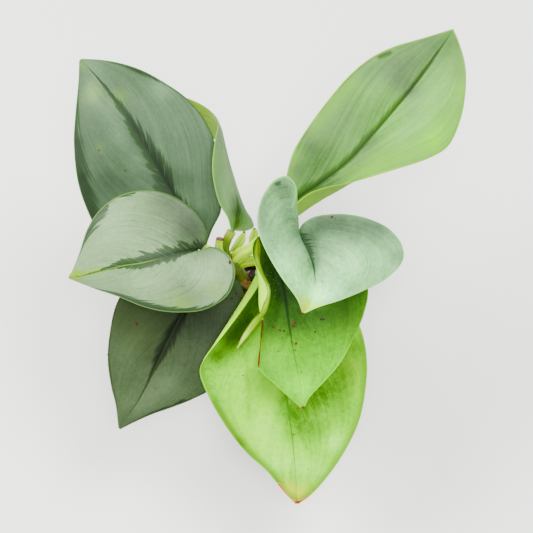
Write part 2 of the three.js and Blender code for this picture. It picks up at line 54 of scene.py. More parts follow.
# Blades: mesh density, veins to a half, and depths of their relief; wings as a share of a stalk
FINE_ROWS = 112
FINE_HALF = 30
VEINS = 17
BLADE_THICKNESS = 0.6
EDGE_SHARE = 0.45
RIB_GROOVE = 0.32
RIB_SHOULDER = 0.12
RIB_RIDGE = 1.15
VEIN_ABOVE = 0.05
VEIN_BELOW = 0.06
WING_SHARE = 0.35

POT_HEIGHT = 70
POT_RIM_RADIUS = 40
POT_WALL = 1.2
POT_FLOOR = 1.6
POT_BASE_RADIUS = 28
BAND_BOTTOM = POT_HEIGHT - 9
BAND_INNER = POT_RIM_RADIUS - 1.2 - POT_WALL
WALL_TOP = BAND_INNER - 0.8
DRAIN_HOLES = 6
DRAIN_RADIUS = 3
DRAIN_RING = 17
SOIL_LEVEL = 63
SOIL_RADIUS = WALL_TOP - 0.3


def place(points):
    """Plate points [across, up, near] in millimetres to the model's frame."""
    points = np.asarray(points, float)
    spread = (EYE_DISTANCE - points[..., 2:3]) / EYE_DISTANCE
    flat = points[..., 0:1] * spread * np.array([1, 0, 0]) + points[..., 1:2] * spread * PLATE_UP
    return PLATE_CENTRE + flat + points[..., 2:3] * PLATE_NEAR


# Curves
def through(points, params):
    """Centripetal Catmull-Rom curve through the points, at params from 0 to 1."""
    points = np.asarray(points, float)
    padded = np.vstack([2 * points[0] - points[1], points, 2 * points[-1] - points[-2]])
    spot = np.clip(np.asarray(params, float) * (len(points) - 1), 0, len(points) - 1 - 1e-9)
    start = spot.astype(int)
    t = (spot - start)[:, None]
    p0, p1, p2, p3 = (padded[start + k] for k in range(4))
    pairs = ((p0, p1), (p1, p2), (p2, p3))
    d0, d1, d2 = (np.sqrt(np.linalg.norm(b - a, axis=1))[:, None] for a, b in pairs)
    d1 = np.maximum(d1, 1e-4)
    d0 = np.where(d0 < 1e-4, d1, d0)
    d2 = np.where(d2 < 1e-4, d1, d2)
    slope1 = ((p1 - p0) / d0 - (p2 - p0) / (d0 + d1) + (p2 - p1) / d1) * d1
    slope2 = ((p2 - p1) / d1 - (p3 - p1) / (d1 + d2) + (p3 - p2) / d2) * d1
    bend = -3 * p1 + 3 * p2 - 2 * slope1 - slope2
    twist = 2 * p1 - 2 * p2 + slope1 + slope2
    return p1 + slope1 * t + bend * t**2 + twist * t**3


def reach_along(points):
    """Distance run at each point of a line."""
    return np.concatenate([[0], np.cumsum(np.linalg.norm(np.diff(points, axis=0), axis=1))])


def evenly(points, shares):
    """Points of the same curve at shares of its length."""
    dense = through(points, np.linspace(0, 1, 40 * len(points)))
    reach = reach_along(dense)
    spots = np.asarray(shares) * reach[-1]
    return np.stack([np.interp(spots, reach, dense[:, k]) for k in range(3)], axis=1)


def arch(heights):
    """Height along a leaf from its base, middle and tip."""
    base, middle, tip = heights
    bend = 2 * (base + tip) - 4 * middle
    slope = tip - base - bend
    return lambda t: base + slope * t + bend * t * t


def laid(points, height_at):
    """Plate points with a height each: their own, or the rule's."""
    flat = np.array([point[:2] for point in points], float)
    reach = reach_along(flat)
    shares = reach / reach[-1]
    heights = [point[2] if len(point) > 2 else height_at(s) for point, s in zip(points, shares)]
    return np.column_stack([flat, heights])


# Blades: rib and both margins from base to tip, as plate points [across, up] or [across, up, near];
# right_inner holds curves between the rib and the right margin. near is the rib's height at base,
# middle and tip, lift how far each margin rises, swell how far each half bulges, and waves the size
# and count of the waves on each margin. fan pulls the rows on the rib towards its base, and ribbed
# scales the raised rib below.
DEFAULT_SHAPE = dict(
    near=[0, 0, 0], lift=[0, 0], swell=[0, 0], waves=[0, 0, 0, 0], fan=1.25, ribbed=1, right_inner=[],
)
LEAVES = {}
LEAVES["back_left"] = dict(
    rib=[[-30, 10], [-36, 20], [-45, 34], [-55, 52], [-65, 68.5], [-75, 83], [-86, 96], [-89.4, 99.2]],
    left=[[-31.3, 9.2], [-36, 3.5], [-44, 0], [-54, -1], [-64, 2], [-74, 9], [-81, 17], [-88, 32],
        [-91, 43], [-92.5, 60], [-92, 70], [-90.2, 90], [-89.9, 98.8]],
    right=[[-28.7, 10.8], [-26, 18], [-21.8, 27], [-22.6, 35], [-23.6, 45], [-24.2, 55], [-25.6, 62],
        [-30, 71], [-38, 80.5], [-50, 89], [-60, 94.3], [-70, 97.6], [-80, 99.3], [-88.9, 99.7]],
    near=[-6, 1, -20], lift=[-3, 0.5], swell=[0.07, 0.06], waves=[1.5, 3, 0.8, 4],
)
LEAVES["back_folded"] = dict(
    rib=[[-15.6, 17, -4], [-14, 26, -6], [-15, 36, -7], [-17.3, 47, -7], [-19.8, 58, -7], [-21.8, 66, -8],
        [-26, 70.5, -13], [-34, 75, -18], [-43, 81, -22], [-48, 83, -24]],
    left=[[-16.8, 16, -3.2], [-18.5, 23, 2], [-22.5, 30, 7], [-25.2, 40, 11], [-26, 48, 12], [-24.8, 60, 9],
        [-23.2, 69, 3], [-25.2, 73, -5], [-30.5, 77.3, -12], [-39, 81.2, -18], [-48.3, 83.6, -23.8]],
    right=[[-14.4, 17.4, -4.6], [-10.5, 17, -5], [-6.2, 18.8, -6], [-7, 22.5, -9], [-9.8, 27, -14],
        [-13.5, 36, -23], [-17, 47, -27], [-21.7, 58.5, -28], [-29, 63.6, -28], [-34, 69, -28],
        [-40.5, 75.2, -27], [-47.6, 82.3, -24.4]],
    swell=[0.08, 0.05],
)
LEAVES["left"] = dict(
    rib=[[-32, 7.5], [-36, 7.4], [-45, 5.3], [-60, 1.7], [-70, 0.2], [-80, -2.5], [-90, -4.8],
        [-94.9, -5.2]],
    left=[[-31, 6.3], [-29, 8.6], [-26, 9.4], [-21, 7.7], [-16.5, 3], [-15, -3], [-17, -11], [-20, -15.2],
        [-30, -20.8], [-40, -22], [-50, -21.5], [-60, -19], [-71, -14.5], [-82, -10.8], [-93, -6.5],
        [-94.9, -5.8]],
    right=[[-31.6, 8.8], [-29.6, 10.3], [-28.5, 15], [-31, 22], [-36, 28], [-45, 34], [-54, 36.3],
        [-64, 36], [-73, 32.8], [-81, 26], [-86, 18], [-90, 6], [-93.5, -2.5], [-94.9, -4.6]],
    near=[7, 15, -2], lift=[-4, -5], swell=[0.06, 0.08], waves=[1, 3, 1.2, 3], fan=1.6,
)
LEAVES["front_left"] = dict(
    rib=[[-22, -3], [-28, -8.5], [-40, -22.5], [-46, -33.5], [-54, -50], [-62, -65], [-67, -72],
        [-70.6, -77.8]],
    left=[[-20.8, -4.2], [-14.5, -5], [-10.5, -14], [-8, -25], [-9, -37], [-15, -49], [-24, -57.5],
        [-35, -63.5], [-45, -67.5], [-55, -71], [-65, -75.5], [-70.2, -78.2]],
    right=[[-23, -1.8], [-32, 1], [-45, 0.5], [-58, -4], [-68, -11], [-72.5, -19], [-75, -30], [-76.3, -44],
        [-74.5, -58], [-72.5, -66], [-71.1, -77.4]],
    near=[-23, -18, -26], lift=[-2, 2.5], swell=[0.06, 0.06], waves=[1.2, 4, 1.2, 3],
)
LEAVES["back_right"] = dict(
    rib=[[9, 20], [15, 32.5], [25, 39.5], [40, 51.5], [50, 62.5], [60, 74], [70, 86], [83, 104],
        [89.6, 113.8]],
    left=[[8, 21.2], [7.6, 32], [9.5, 43.5], [13, 55.5], [20, 67], [30, 80.5], [40, 92], [50, 100.2],
        [60, 105.2], [75, 109.7], [89.2, 114.1]],
    right=[[10.2, 19.6, -2], [12.5, 28, 7], [20, 34.8, 9], [30, 38.3, 9], [40, 40.2, 6], [60, 46, 5],
        [78, 52, 4], [87, 57.5, 2], [93, 70, -1], [95.5, 83, -4], [95.5, 96.5, -7], [92, 109, -10],
        [90, 113.5, -11]],
    right_inner=[
        [[9.8, 19.7, -4], [15.4, 24.6, -3], [26, 31.8, -2], [38, 38.7, 1], [50, 47, 3], [62, 57, 4],
            [74, 70, 2], [83, 86, -2], [88, 102, -8], [89.9, 113.6, -11]],
    ],
    near=[-5, 3, -11], lift=[4, 0], swell=[0.05, 0.05], waves=[1.2, 3, 0, 0],
)
LEAVES["front"] = dict(
    rib=[[-4, -2.5], [-2, -12], [1, -25], [4.5, -38], [7.5, -52], [10, -65], [12.7, -85], [14.3, -105],
        [14.5, -113.7]],
    left=[[-2.6, -2.6], [8, -5], [20, -8.5], [31, -14], [40, -21], [45, -29], [48.2, -44], [47.7, -58],
        [44.5, -74], [38, -88], [30, -100], [21, -110], [15.2, -114]],
    right=[[-4.6, -3.6, -8.2], [-3.6, -8, -2], [-10, -18.5, 0], [-20, -32, -1], [-29, -43.5, -3],
        [-32, -50, -6], [-29, -60, -8], [-19, -77.5, -9], [-9, -90, -11], [0, -98, -13], [9, -109, -15],
        [13.9, -114, -16]],
    right_inner=[
        [[-4.2, -3, -9], [-5, -12, -11], [-8, -26, -13], [-12, -42, -12], [-13, -55, -10], [-9, -72, -10],
            [-2, -88, -12], [6, -102, -14], [14.2, -113.9, -16]],
        [[-4.4, -3.3, -9], [-9.6, -13, -5], [-17.6, -26, -5], [-25.6, -38.9, -6], [-30.2, -47.6, -8],
            [-27, -57, -9], [-18, -72, -10], [-8, -86, -12], [3, -100, -14], [14, -113.9, -16]],
    ],
    near=[-11, -10, -18], lift=[2.5, 0], swell=[0.06, 0], waves=[1.5, 3, 0, 0],
)
LEAVES["right"] = dict(
    rib=[[14.3, 14.5], [17, 11.5], [19.5, 8], [22, 2], [23.3, -6], [22.4, -14], [19.6, -20], [17.9, -22.2]],
    left=[[15.4, 15.6], [17, 20], [20, 22.5], [24, 24.2], [36, 25.3], [48, 23.3], [59, 18], [65, 10.5],
        [65.5, 3], [58, -5.5], [48, -11], [36, -16], [25, -19.5], [18.5, -22.4]],
    right=[[13.2, 15.5], [11, 18.5], [10.4, 24], [13, 31], [14.4, 38], [10, 43.4], [4, 41.5], [-2, 33.5],
        [-4.4, 24], [-3.5, 15.5], [0.5, 6], [7, -5], [14.5, -15.5], [17.1, -22]],
    near=[8, 12, 10], lift=[10, 16], swell=[0.1, 0.02], fan=2.1, ribbed=0.8,
)
LEAVES["torn"] = dict(
    rib=[[-3, 14], [1, 8], [5, 0], [8, -9], [10, -22], [12.5, -38], [14.5, -48], [16.5, -58],
        [17.5, -68.1]],
    left=[[-1.9, 14.2], [5, 11.5], [14, 9.5], [27, 7.5], [38, 4], [46, -3], [48.8, -11], [47, -22],
        [42, -34], [36, -45.5], [28, -55], [20.5, -63], [18, -68.3]],
    right=[[-4.1, 14.6, 2.6], [-6.4, 11, 6], [-6.4, 4.5, 9], [-2.5, -4, 10], [0.8, -12, 9], [-0.5, -20, 7],
        [-2.3, -28, 4], [-3, -38, 2], [-3.8, -48.5, 1], [5, -57.5, 0], [12, -63.8, -1], [17, -68.3, -1]],
    right_inner=[
        [[-3.7, 14.4, 2], [-4.8, 8, 2], [-3.8, 0, 1], [-3.4, -8, 1], [-3.4, -18, 0.5], [-1.5, -28, 1],
            [0, -40, 0.5], [3, -51, 0.5], [10, -60, 0], [17.2, -68.2, -1]],
    ],
    near=[1.5, 3.5, -1], lift=[-1.5, 0], swell=[0.07, 0], waves=[1, 3, 0, 0],
)

# The strip torn from the margin of the leaf "torn"
TORN_STRIP = dict(
    rib=[[-4, 13.7, 3.6], [-4.3, 8.1, 8.4], [-4.3, 2.6, 9.9], [-2.3, -2.9, 10.9], [0.5, -8.4, 10.6],
        [1.3, -12, 9.9], [1, -15.5, 9.1], [-0.2, -19, 8.5], [-1.8, -22.6, 8.2], [-4.4, -25.6, 7.8],
        [-7.2, -28.9, 7], [-10.6, -33.9, 5.6], [-13.9, -39.1, 2.8]],
    left=[[-3.4, 13.8, 3], [-2.6, 8.1, 7], [-3.1, 2.6, 8.9], [-1.4, -2.9, 10.2], [1.3, -8.4, 9.9],
        [2, -12, 9.1], [1.7, -16, 8.3], [0.8, -19.4, 7.9], [-0.4, -22.6, 7.5], [-2.4, -25.6, 7.1],
        [-5, -28.9, 6.4], [-9.3, -34.2, 5], [-13.6, -39.4, 2.4]],
    right=[[-4.5, 13.5, 3], [-5.9, 8.1, 7.8], [-5.6, 2.6, 9.2], [-3.1, -2.9, 10.3], [-0.3, -8.4, 10],
        [0.5, -12, 9.3], [0.1, -15, 8.6], [-1.4, -18, 7.9], [-3, -22, 7.6], [-6.2, -25, 7.1],
        [-9, -28.9, 6.4], [-11.9, -33.7, 5], [-14.2, -38.8, 2.4]],
    ribbed=0,
)

# How each blade is coloured, in 8-bit screen colours in the order of COLOURS. body runs to deep and
# pale with the tones and with texture: amounts of broad streaks, fine streaks, clouds, mottle and
# grain. shade and dark fill the band beside the rib and the rim beside the edge, each as (share of the
# length, width on the left half, width on the right half), and the patches, (across, up, across, up,
# radius). teeth and jagged set how feathered these are, soft their edge, contrast their strength, and
# shift makes one half of them darker, as painted shade in the fold along the rib. brush and crease
# are pale and dark hairlines. Strokes are (across, up, radius, amount), some with two ends: tones lead
# to pale or deep, partly the blade's own colour and partly painted light and painted shade; yellows
# lead to yellow and dry to the dry colours; and gloom is painted shade on the upper face, such as
# shadows cast by leaves above and darkening towards the crown, and painted light where it is below 0
# (richer raises its saturation as it darkens). rib and edge colour thin lines, margin is the width of
# a rim of margin_colour, rib_start and rib_end are shares of the length, and gloss is the shine.
COLOURS = ("body", "deep", "pale", "yellow", "shade", "dark", "edge", "rib", "under", "under_deep")
DEFAULT_LOOK = dict(
    gloss=0.16, rib_amount=0.6, rib_width=0.6, rib_start=-1, rib_end=0.95, teeth=34, jagged=2.4, soft=0.1,
    contrast=0.95, shift=0, brush=0.3, crease=0.2, richer=0.2, margin=0, dry_light=(120, 100, 60),
    dry_dark=(90, 60, 36), band=[(0, 0, 0), (1, 0, 0)], rim=[(0, 0, 0), (1, 0, 0)], patches=[], tones_and_shading=[],
    yellows=[], painted_shading=[], dry=[],
)
LOOKS = {}
LOOKS["back_left"] = dict(
    colours=[(61, 84, 59), (36, 55, 29), (85, 108, 79), (82, 114, 42), (34, 56, 28), (12, 28, 9),
        (62, 96, 47), (30, 52, 20), (119, 143, 57), (102, 127, 43)],
    rib_amount=0.4, texture=(0.8, 0.7, 0.8, 0.7, 0.6), gloss=0.07, shift=0.35, contrast=0.85, soft=0.2,
    richer=0.1,
    band=[(0, 8, 3), (0.35, 8, 3.4), (0.4, 7, 4), (0.45, 4, 5.2), (0.5, 3.2, 5), (0.58, 2.8, 4),
        (0.63, 3, 3.6), (0.69, 2.2, 3.2), (0.75, 1.4, 2.4), (0.8, 1, 1.6), (0.86, 0.7, 1), (0.92, 0.3, 0.4),
        (1, 0, 0)],
    rim=[(0, 5, 1), (0.3, 5, 0.8), (0.52, 6.4, 0.8), (0.62, 6.2, 0.8), (0.66, 5, 1), (0.7, 4.2, 2.2),
        (0.77, 2.8, 2.4), (0.83, 1.8, 1.2), (0.87, 1.1, 1.2), (0.92, 0.6, 0.2), (1, 0, 0)],
    tones_and_shading=[(-82, 78, 11, 0.5), (-50, 78, 14, 0.2), (-78, 42, 12, -0.2)],
    yellows=[(-83, 83, 4.5, 0.55), (-70, 81.5, 4, 0.6), (-88, 97, 3, 0.4), (-80, 57, 2.5, 0.4)],
    painted_shading=[(-84, 74, -74, 36, 11, 0.2), (-28, 24, 7, 0.2), (-84, 97, -84, 82, 6, -0.4), (-52, 88, 6, -0.3),
        (-76, 40, -44, 38, 7, 0.3), (-90, 60, -88, 44, 2.6, 0.5), (-87.5, 42, -82, 24, 3, 0.7),
        (-83, 83, 5, -0.15), (-63, 66, -52, 46, 4, 0.4), (-76, 76, -70, 62, 5, -0.35), (-50, 84, 5, -0.3),
        (-63, 50, 4, -0.2), (-48, 42, -36, 42, 5, 0.3)],
)
LOOKS["back_folded"] = dict(
    colours=[(79, 116, 63), (47, 77, 30), (106, 142, 86), (99, 142, 34), (44, 76, 16), (36, 66, 8),
        (106, 154, 68), (72, 112, 26), (120, 157, 0), (104, 142, 0)],
    rib_amount=0.3, texture=(0.9, 0.8, 0.8, 0.8, 0.6), soft=0.6, contrast=0.7, gloss=0.08,
    band=[(0, 0.5, 1), (0.08, 2, 1.6), (0.16, 2.4, 1.6), (0.3, 0.4, 0.3), (1, 0, 0)],
    tones_and_shading=[(-22, 52, 8, 0.2), (-9, 21, 4, 0.3)],
    yellows=[(-14.5, 22, 3, 0.6), (-13, 17, 3, 0.4), (-26, 56, -26.5, 40, 1.6, 0.8)],
    painted_shading=[(-14, 31, -12.6, 21, 3.2, 0.7), (-15.5, 26, 2.5, 0.5), (-20, 42, -19, 26, 3, -0.25)],
)
LOOKS["left"] = dict(
    colours=[(104, 134, 91), (64, 93, 52), (126, 152, 113), (108, 146, 0), (40, 66, 33), (21, 40, 15),
        (91, 134, 61), (88, 128, 8), (153, 186, 94), (136, 168, 79)],
    rib_amount=0.8, rib_width=0.34, rib_start=0.4, richer=0, dry_light=(150, 120, 60),
    dry_dark=(110, 66, 36), texture=(0.9, 1, 1, 1.3, 1), crease=0.35,
    band=[(0, 0.6, 5), (0.12, 1, 5), (0.29, 1.6, 5), (0.4, 2.6, 5), (0.5, 2.9, 4.8), (0.58, 2.4, 4.2),
        (0.65, 2.2, 3.4), (0.74, 0.8, 2.2), (0.82, 0, 1), (0.9, 0, 0.4), (1, 0, 0)],
    rim=[(0, 0.5, 0.8), (0.1, 1.2, 0.8), (0.38, 1.4, 0.6), (0.42, 2.2, 0.5), (0.47, 2.6, 0.6),
        (0.49, 2.6, 2), (0.53, 2.8, 2), (0.56, 3, 0.8), (0.61, 3.2, 1.2), (0.64, 3.6, 4), (0.7, 3.6, 4.8),
        (0.76, 2.8, 4.4), (0.82, 1.8, 2.2), (0.88, 0.8, 1.2), (0.93, 0, 0.4), (0.96, 0, 0), (1, 0, 0)],
    tones_and_shading=[(-78, 16, 12, 0.3), (-55, -8, 14, 0.15)],
    yellows=[(-93, -4.5, 4, 0.9), (-92, -4.4, -80, -1.8, 1.4, 0.8), (-41, -18.5, 6, 0.5),
        (-24, -11, 5, 0.3)],
    painted_shading=[(-30, 14, -46, 32, 8, 0.8), (-40, 20, -52, 28, 12, 0.3), (-38, 16, 7, 0.3),
        (-40, -8, -36, -13, 6, 0.3), (-60, -7, 8, -0.2), (-78, -6, 6, -0.15), (-30, -4, 9, -0.2),
        (-36, 22, 6, 0.2)],
    dry=[(-95, -5.2, 1.2, 1)],
)
LOOKS["front_left"] = dict(
    colours=[(54, 70, 44), (29, 41, 19), (78, 95, 67), (72, 92, 40), (22, 34, 14), (8, 15, 5), (60, 83, 42),
        (45, 62, 25), (107, 135, 68), (92, 120, 54)],
    rib_amount=0.5, texture=(0.35, 0.45, 0.8, 0.8, 0.8), gloss=0.05, contrast=0.9, jagged=1.8, soft=0.45,
    richer=0,
    band=[(0, 1, 1), (0.3, 1.2, 1.2), (0.37, 1.8, 1.5), (0.44, 3.2, 2.8), (0.51, 3.4, 3.6),
        (0.58, 2.6, 3.8), (0.64, 1.4, 2.8), (0.69, 0.7, 1.8), (0.76, 0.4, 0.6), (0.85, 0.2, 0.2),
        (1, 0, 0)],
    rim=[(0, 0.8, 0.8), (0.6, 0.8, 0.8), (0.68, 0.6, 0.8), (0.72, 2.2, 0.8), (0.76, 1.2, 1), (0.82, 1.6, 1),
        (0.88, 1.2, 0.8), (0.95, 0.4, 0.4), (1, 0, 0)],
    tones_and_shading=[(-58, -66, -50, -58, 7, 0.5)],
    yellows=[(-64, -20, 14, 0.4), (-56, -32, 12, 0.3)],
    # gloom: painted shadow of the leaf 'left' over the top of this blade, and painted light near the tip
    painted_shading=[(-64, -22, -28, -28, 12, 0.8), (-56, -42, -38, -44, 8, 0.35), (-34, -12, -24, -12, 8, 0.3),
        (-14, -16, 6, 0.1), (-68, -66, 8, -0.3)],
)
LOOKS["back_right"] = dict(
    colours=[(84, 137, 54), (52, 99, 22), (108, 161, 80), (100, 160, 26), (52, 92, 12), (34, 68, 2),
        (128, 186, 4), (32, 64, 0), (108, 156, 16), (94, 142, 10)],
    rib_amount=0.9, rib_width=0.9, dry_light=(120, 120, 60), dry_dark=(90, 80, 40), contrast=0.85,
    texture=(1.9, 0.9, 1.3, 1, 0.5), gloss=0.08, richer=-0.3, jagged=1.8, soft=0.3,
    band=[(0, 4, 3), (0.23, 3.6, 2.2), (0.33, 2.6, 1.7), (0.42, 2.3, 1.3), (0.57, 2.3, 1), (0.7, 2.3, 0.7),
        (0.79, 2, 1), (0.86, 1.2, 0.9), (0.93, 0.5, 0.5), (1, 0, 0)],
    rim=[(0, 0.4, 0), (0.4, 0.8, 0.4), (0.7, 1, 0.4), (1, 0, 0)],
    patches=[(54, 100.6, 59, 102.6, 1.2)],
    tones_and_shading=[(70, 62, 84, 86, 12, 0.5), (24, 52, 10, -0.4), (48, 86, 12, 0.3)],
    yellows=[(88, 70, 8, 0.5), (79, 58, 40, 44, 6, 0.6), (40, 88, 20, 64, 4, 0.7), (12, 54, 8, 26, 4, 0.9),
        (94, 84, 92, 102, 4, 0.6)],
    painted_shading=[(79, 106, 9, 0.5), (68, 96, 9, 0.35), (30, 62, 44, 80, 12, 0.35), (20, 44, 12, 0.3),
        (60, 96, 8, 0.2), (62, 66, 84, 84, 10, -0.1), (30, 40, 40, 46, 4, 0.2), (50, 94, 68, 98, 6, 0.25),
        (64, 88, 70, 84, 5, 0.5), (44, 52, 50, 60, 4, 0.3), (81, 62, 7, -0.35), (46, 82, 7, -0.25),
        (93, 92, 91, 106, 4, 0.35), (18, 66, 22, 56, 3, 0.3), (14, 46, 4, 0.4), (70, 74, 4, 0.2)],
    dry=[(89.8, 113.8, 0.9, 0.8)],
)
LOOKS["front"] = dict(
    colours=[(105, 184, 0), (70, 128, 18), (134, 208, 10), (176, 192, 0), (70, 140, 0), (50, 116, 0),
        (116, 186, 0), (66, 140, 1), (186, 250, 10), (170, 244, 6)],
    rib_amount=0.7, dry_light=(220, 140, 50), dry_dark=(110, 52, 20), teeth=14, jagged=1.4, contrast=0.7,
    texture=(1.5, 0.9, 1.2, 2.2, 1.2), gloss=0.02, margin=4.5, margin_amount=0.85,
    margin_colour=(86, 142, 0), rib_end=0.85,
    band=[(0, 2, 2), (0.5, 1, 1), (0.7, 0.4, 0.4), (1, 0, 0)],
    # tones and gloom: painted shade inside the fold, painted shadow under the tip of the leaf 'torn', and
    # painted light lower down
    tones_and_shading=[(-12, -77, 12, 0.7), (4, -86, 12, 0.7), (-6, -60, 10, 0.5), (14, -70, 26, -62, 6, -0.8),
        (13, -79, 24, -78, 6, -0.5), (32, -52, 10, -0.4), (26, -100, 34, -84, 8, 0.4)],
    yellows=[(44, -50, 8, 0.15), (10, -107.5, 4.5, 1), (17, -109, 4.5, 0.8)],
    painted_shading=[(-5, -14, -17, -34, 6, 1.7), (-14, -30, -23, -42, 3, 0.4), (-9, -26, -12, -34, 4, 0.5),
        (-7, -27, 3, 0.6), (32, -52, 13, 0.3), (1.5, -56, 9, 0.5), (37, -42, 7, 0.3), (9, -62, 4, 0.6),
        (-9.8, -42, -8.4, -73, 1.2, 0.3), (4, -80, 12, -0.2), (14, -70, 26, -62, 6, 0.45),
        (13, -79, 24, -78, 6, 0.4), (37, -52, 36, -68, 5, 0.4), (-24, -43, 4, 0.8),
        (-25, -66, -13, -85, 3, 0.5), (-13, -85, 4, -103, 3, 0.4), (2, -95, 24, -97, 6, -0.2),
        (32, -84, 5, -0.35), (42, -38, 5, 0.5)],
    dry=[(14.4, -114, 2.4, 1), (5.8, -104.4, 11.4, -112.4, 1, 0.8), (24.5, -108, 16, -113.6, 1, 0.8)],
)
LOOKS["right"] = dict(
    colours=[(107, 162, 102), (68, 111, 60), (137, 190, 134), (150, 186, 0), (56, 98, 46), (28, 58, 22),
        (130, 196, 106), (40, 78, 30), (104, 150, 80), (92, 138, 70)],
    rib_amount=0.9, rib_width=0.8, rib_end=0.84, brush=0.6, crease=0.3, dry_light=(216, 186, 10),
    dry_dark=(200, 110, 40), contrast=0.8, texture=(1.1, 1.1, 1.5, 1.9, 1), gloss=0.04, richer=-0.12,
    band=[(0, 4.5, 1.2), (0.2, 5, 0.8), (0.35, 4.4, 0.6), (0.5, 2.8, 0.5), (0.62, 1.4, 0.4),
        (0.74, 0.4, 0.3), (0.82, 0, 0), (1, 0, 0)],
    patches=[(4.6, 39.4, 6.4, 40, 0.9)],
    tones_and_shading=[(36, 4, 10, 0.5), (29, -10, 9, 0.5), (8, 4, 8, 0.4)],
    yellows=[(17.4, -20.5, 4.6, 1.5), (19, -21, 27, -18.6, 1.1, 0.8), (16, -19, 12, -12, 1.1, 0.7)],
    painted_shading=[(17, 17, 6, 0.6), (26, 21, 54, 20, 6, 1.1), (24, 12, 34, 12, 7, 0.3), (63, 5, 4, 0.6),
        (-2.6, 34, -2, 20, 3, 0.4), (6, 39, 5, 0.6), (21.5, 13, 23, 1, 3.2, 0.9), (28, 21, 36, 22, 5, 0.4),
        (10, 36, 11, 24, 4, 0.4), (50, 14, 58, 13, 6, 0.35), (8, 0, 24, -16, 7, -0.6),
        (26, -13, 34, -13, 6, -0.3), (40, -2, 8, -0.3), (42, 14, 4, 0.3), (28, 8, 4, 0.2)],
    dry=[(17.4, -22.2, 2.2, 0.72)],
)
LOOKS["torn"] = dict(
    colours=[(67, 134, 0), (32, 82, 0), (90, 168, 8), (92, 160, 0), (42, 98, 0), (22, 62, 0),
        (112, 180, 20), (34, 78, 0), (186, 250, 10), (170, 246, 6)],
    rib_amount=0.8, rib_end=0.75, dry_light=(104, 60, 22), dry_dark=(62, 32, 12), contrast=0.6,
    texture=(0.9, 0.8, 1.1, 1.9, 1.3), gloss=0.04, richer=-0.05,
    band=[(0, 3, 3), (0.3, 1.6, 1.6), (0.6, 0.6, 0.6), (0.8, 0.2, 0.2), (1, 0, 0)],
    tones_and_shading=[(14, -57, 10, 0.7), (30, -38, 10, 0.2), (5, -46, 9, 0.4)],
    yellows=[(0, -32, 7, 0.3), (17.2, -65, 3, 0.8), (38, -24, 8, 0.5)],
    # gloom: painted shadow of the leaf 'right' across the upper part, and painted light lower down
    painted_shading=[(2, 2, 10, -14, 9, 1.2), (4, -2, 9, -14, 5, 0.4), (2, -28, 38, -24, 8, 1),
        (38, -14, 44, -14, 7, 0.6), (38, -44, 22, -60, 7, -0.5), (14, -58, 8, -0.4),
        (0, -40, 30, -46, 6, -0.15)],
    dry=[(17.6, -68, 1.5, 0.8), (-2, -26, -2.8, -33, 0.5, 0.8), (-2.8, -33, -3.9, -48.6, 0.5, 1)],
)
STRIP_LOOK = dict(
    colours=[(118, 150, 0), (88, 120, 0), (142, 174, 0), (150, 180, 60), (60, 104, 0), (44, 84, 0),
        (56, 100, 0), (96, 146, 4), (206, 250, 20), (190, 240, 16)],
    rib_amount=0.5, dry_light=(214, 170, 110), dry_dark=(170, 110, 70), texture=(0.6, 0.5, 0.5, 0.6, 0.5),
    brush=0.1, crease=0, gloss=0.02,
    tones_and_shading=[(-11, -35, 4, 1.2)],
    yellows=[(-13.5, -38.6, 3, 0.8)],
    painted_shading=[(-3.4, 12, -4, 6, 2.2, 0.5), (-10, -34, 5, -0.4), (0.6, -11.5, 3, -0.6), (-2.5, -24, 3, 0.4)],
    dry=[(-14.1, -39.3, 1, 0.8)],
)
SHEATH_LOOK = dict(
    colours=[(164, 206, 12), (126, 166, 2), (200, 236, 44), (190, 206, 60), (90, 104, 20), (80, 80, 20),
        (170, 196, 50), (120, 152, 10), (150, 184, 20), (130, 166, 10)],
    dry_light=(120, 84, 30), dry_dark=(76, 40, 16), texture=(1.1, 0.9, 0.8, 0, 0.7),
    dry=[(-10.2, 17, 1.3, 1), (-6.2, 18.6, 1, 1)],
)

# Routes as [across, up, near, radius], from the stem's axis to the blade
STEM = [[-11, -12.6, -64.6, 3], [-11, -8, -52.5, 3.7], [-11.1, -6.9, -48, 3.2], [-11.6, -5.8, -43.5, 4],
    [-12.2, -4.8, -39.5, 3.2], [-13, -3.6, -34.5, 3.9], [-14, -2.1, -29.5, 3.3], [-15.2, -0.4, -23.5, 3.8],
    [-17, 1.7, -17, 3.2], [-18.6, 3.4, -11, 2.4]]
PETIOLES = {
    "front_left": [[-13.6, -2.6, -30, 2], [-17, -2.6, -27, 1.9], [-21.2, -2.6, -23.8, 1.6]],
    "front": [[-12.6, -4.6, -37, 2], [-9.8, -8.8, -35.5, 1.9], [-5, -8.8, -27, 1.7], [-3.4, -5, -17, 1.6],
        [-3.9, -2.2, -10.5, 1.5]],
    "right": [[-14.8, -0.4, -25, 1.8], [-9.4, 1.9, -19.5, 2.2], [-4.5, 3.1, -16.5, 2.6], [3, 8, -10, 2.2],
        [10, 13.4, -1, 1.8], [13.6, 15.2, 7, 1.6]],
    "back_right": [[-15.8, 0.6, -21, 2.1], [-11, 5.4, -16.5, 2.1], [-4, 10, -13.5, 2.1], [3, 15, -10, 1.9],
        [9.3, 20.2, -5.2, 1.9]],
    "back_left": [[-16.6, 1.6, -18, 2], [-21, 4.5, -15.5, 1.8], [-26.5, 8, -9.5, 1.6],
        [-29.4, 9.5, -6.8, 1.6]],
    "torn": [[-17, 2.6, -16, 2.3], [-12, 6.7, -9.5, 2.6], [-7, 9.4, -5.5, 2.5], [-3.7, 13.2, -0.3, 1.8]],
    "left": [[-17.8, 3, -13, 2], [-22.5, 4.6, -9, 1.8], [-28, 6.6, 0.5, 1.5], [-31.3, 7.3, 5.6, 1.5]],
    "back_folded": [[-18.2, 3.6, -12, 2.1], [-20, 8.2, -8.8, 2.2], [-18.7, 13.2, -6, 2.2],
        [-16.8, 16.8, -4.4, 2.3]],
}
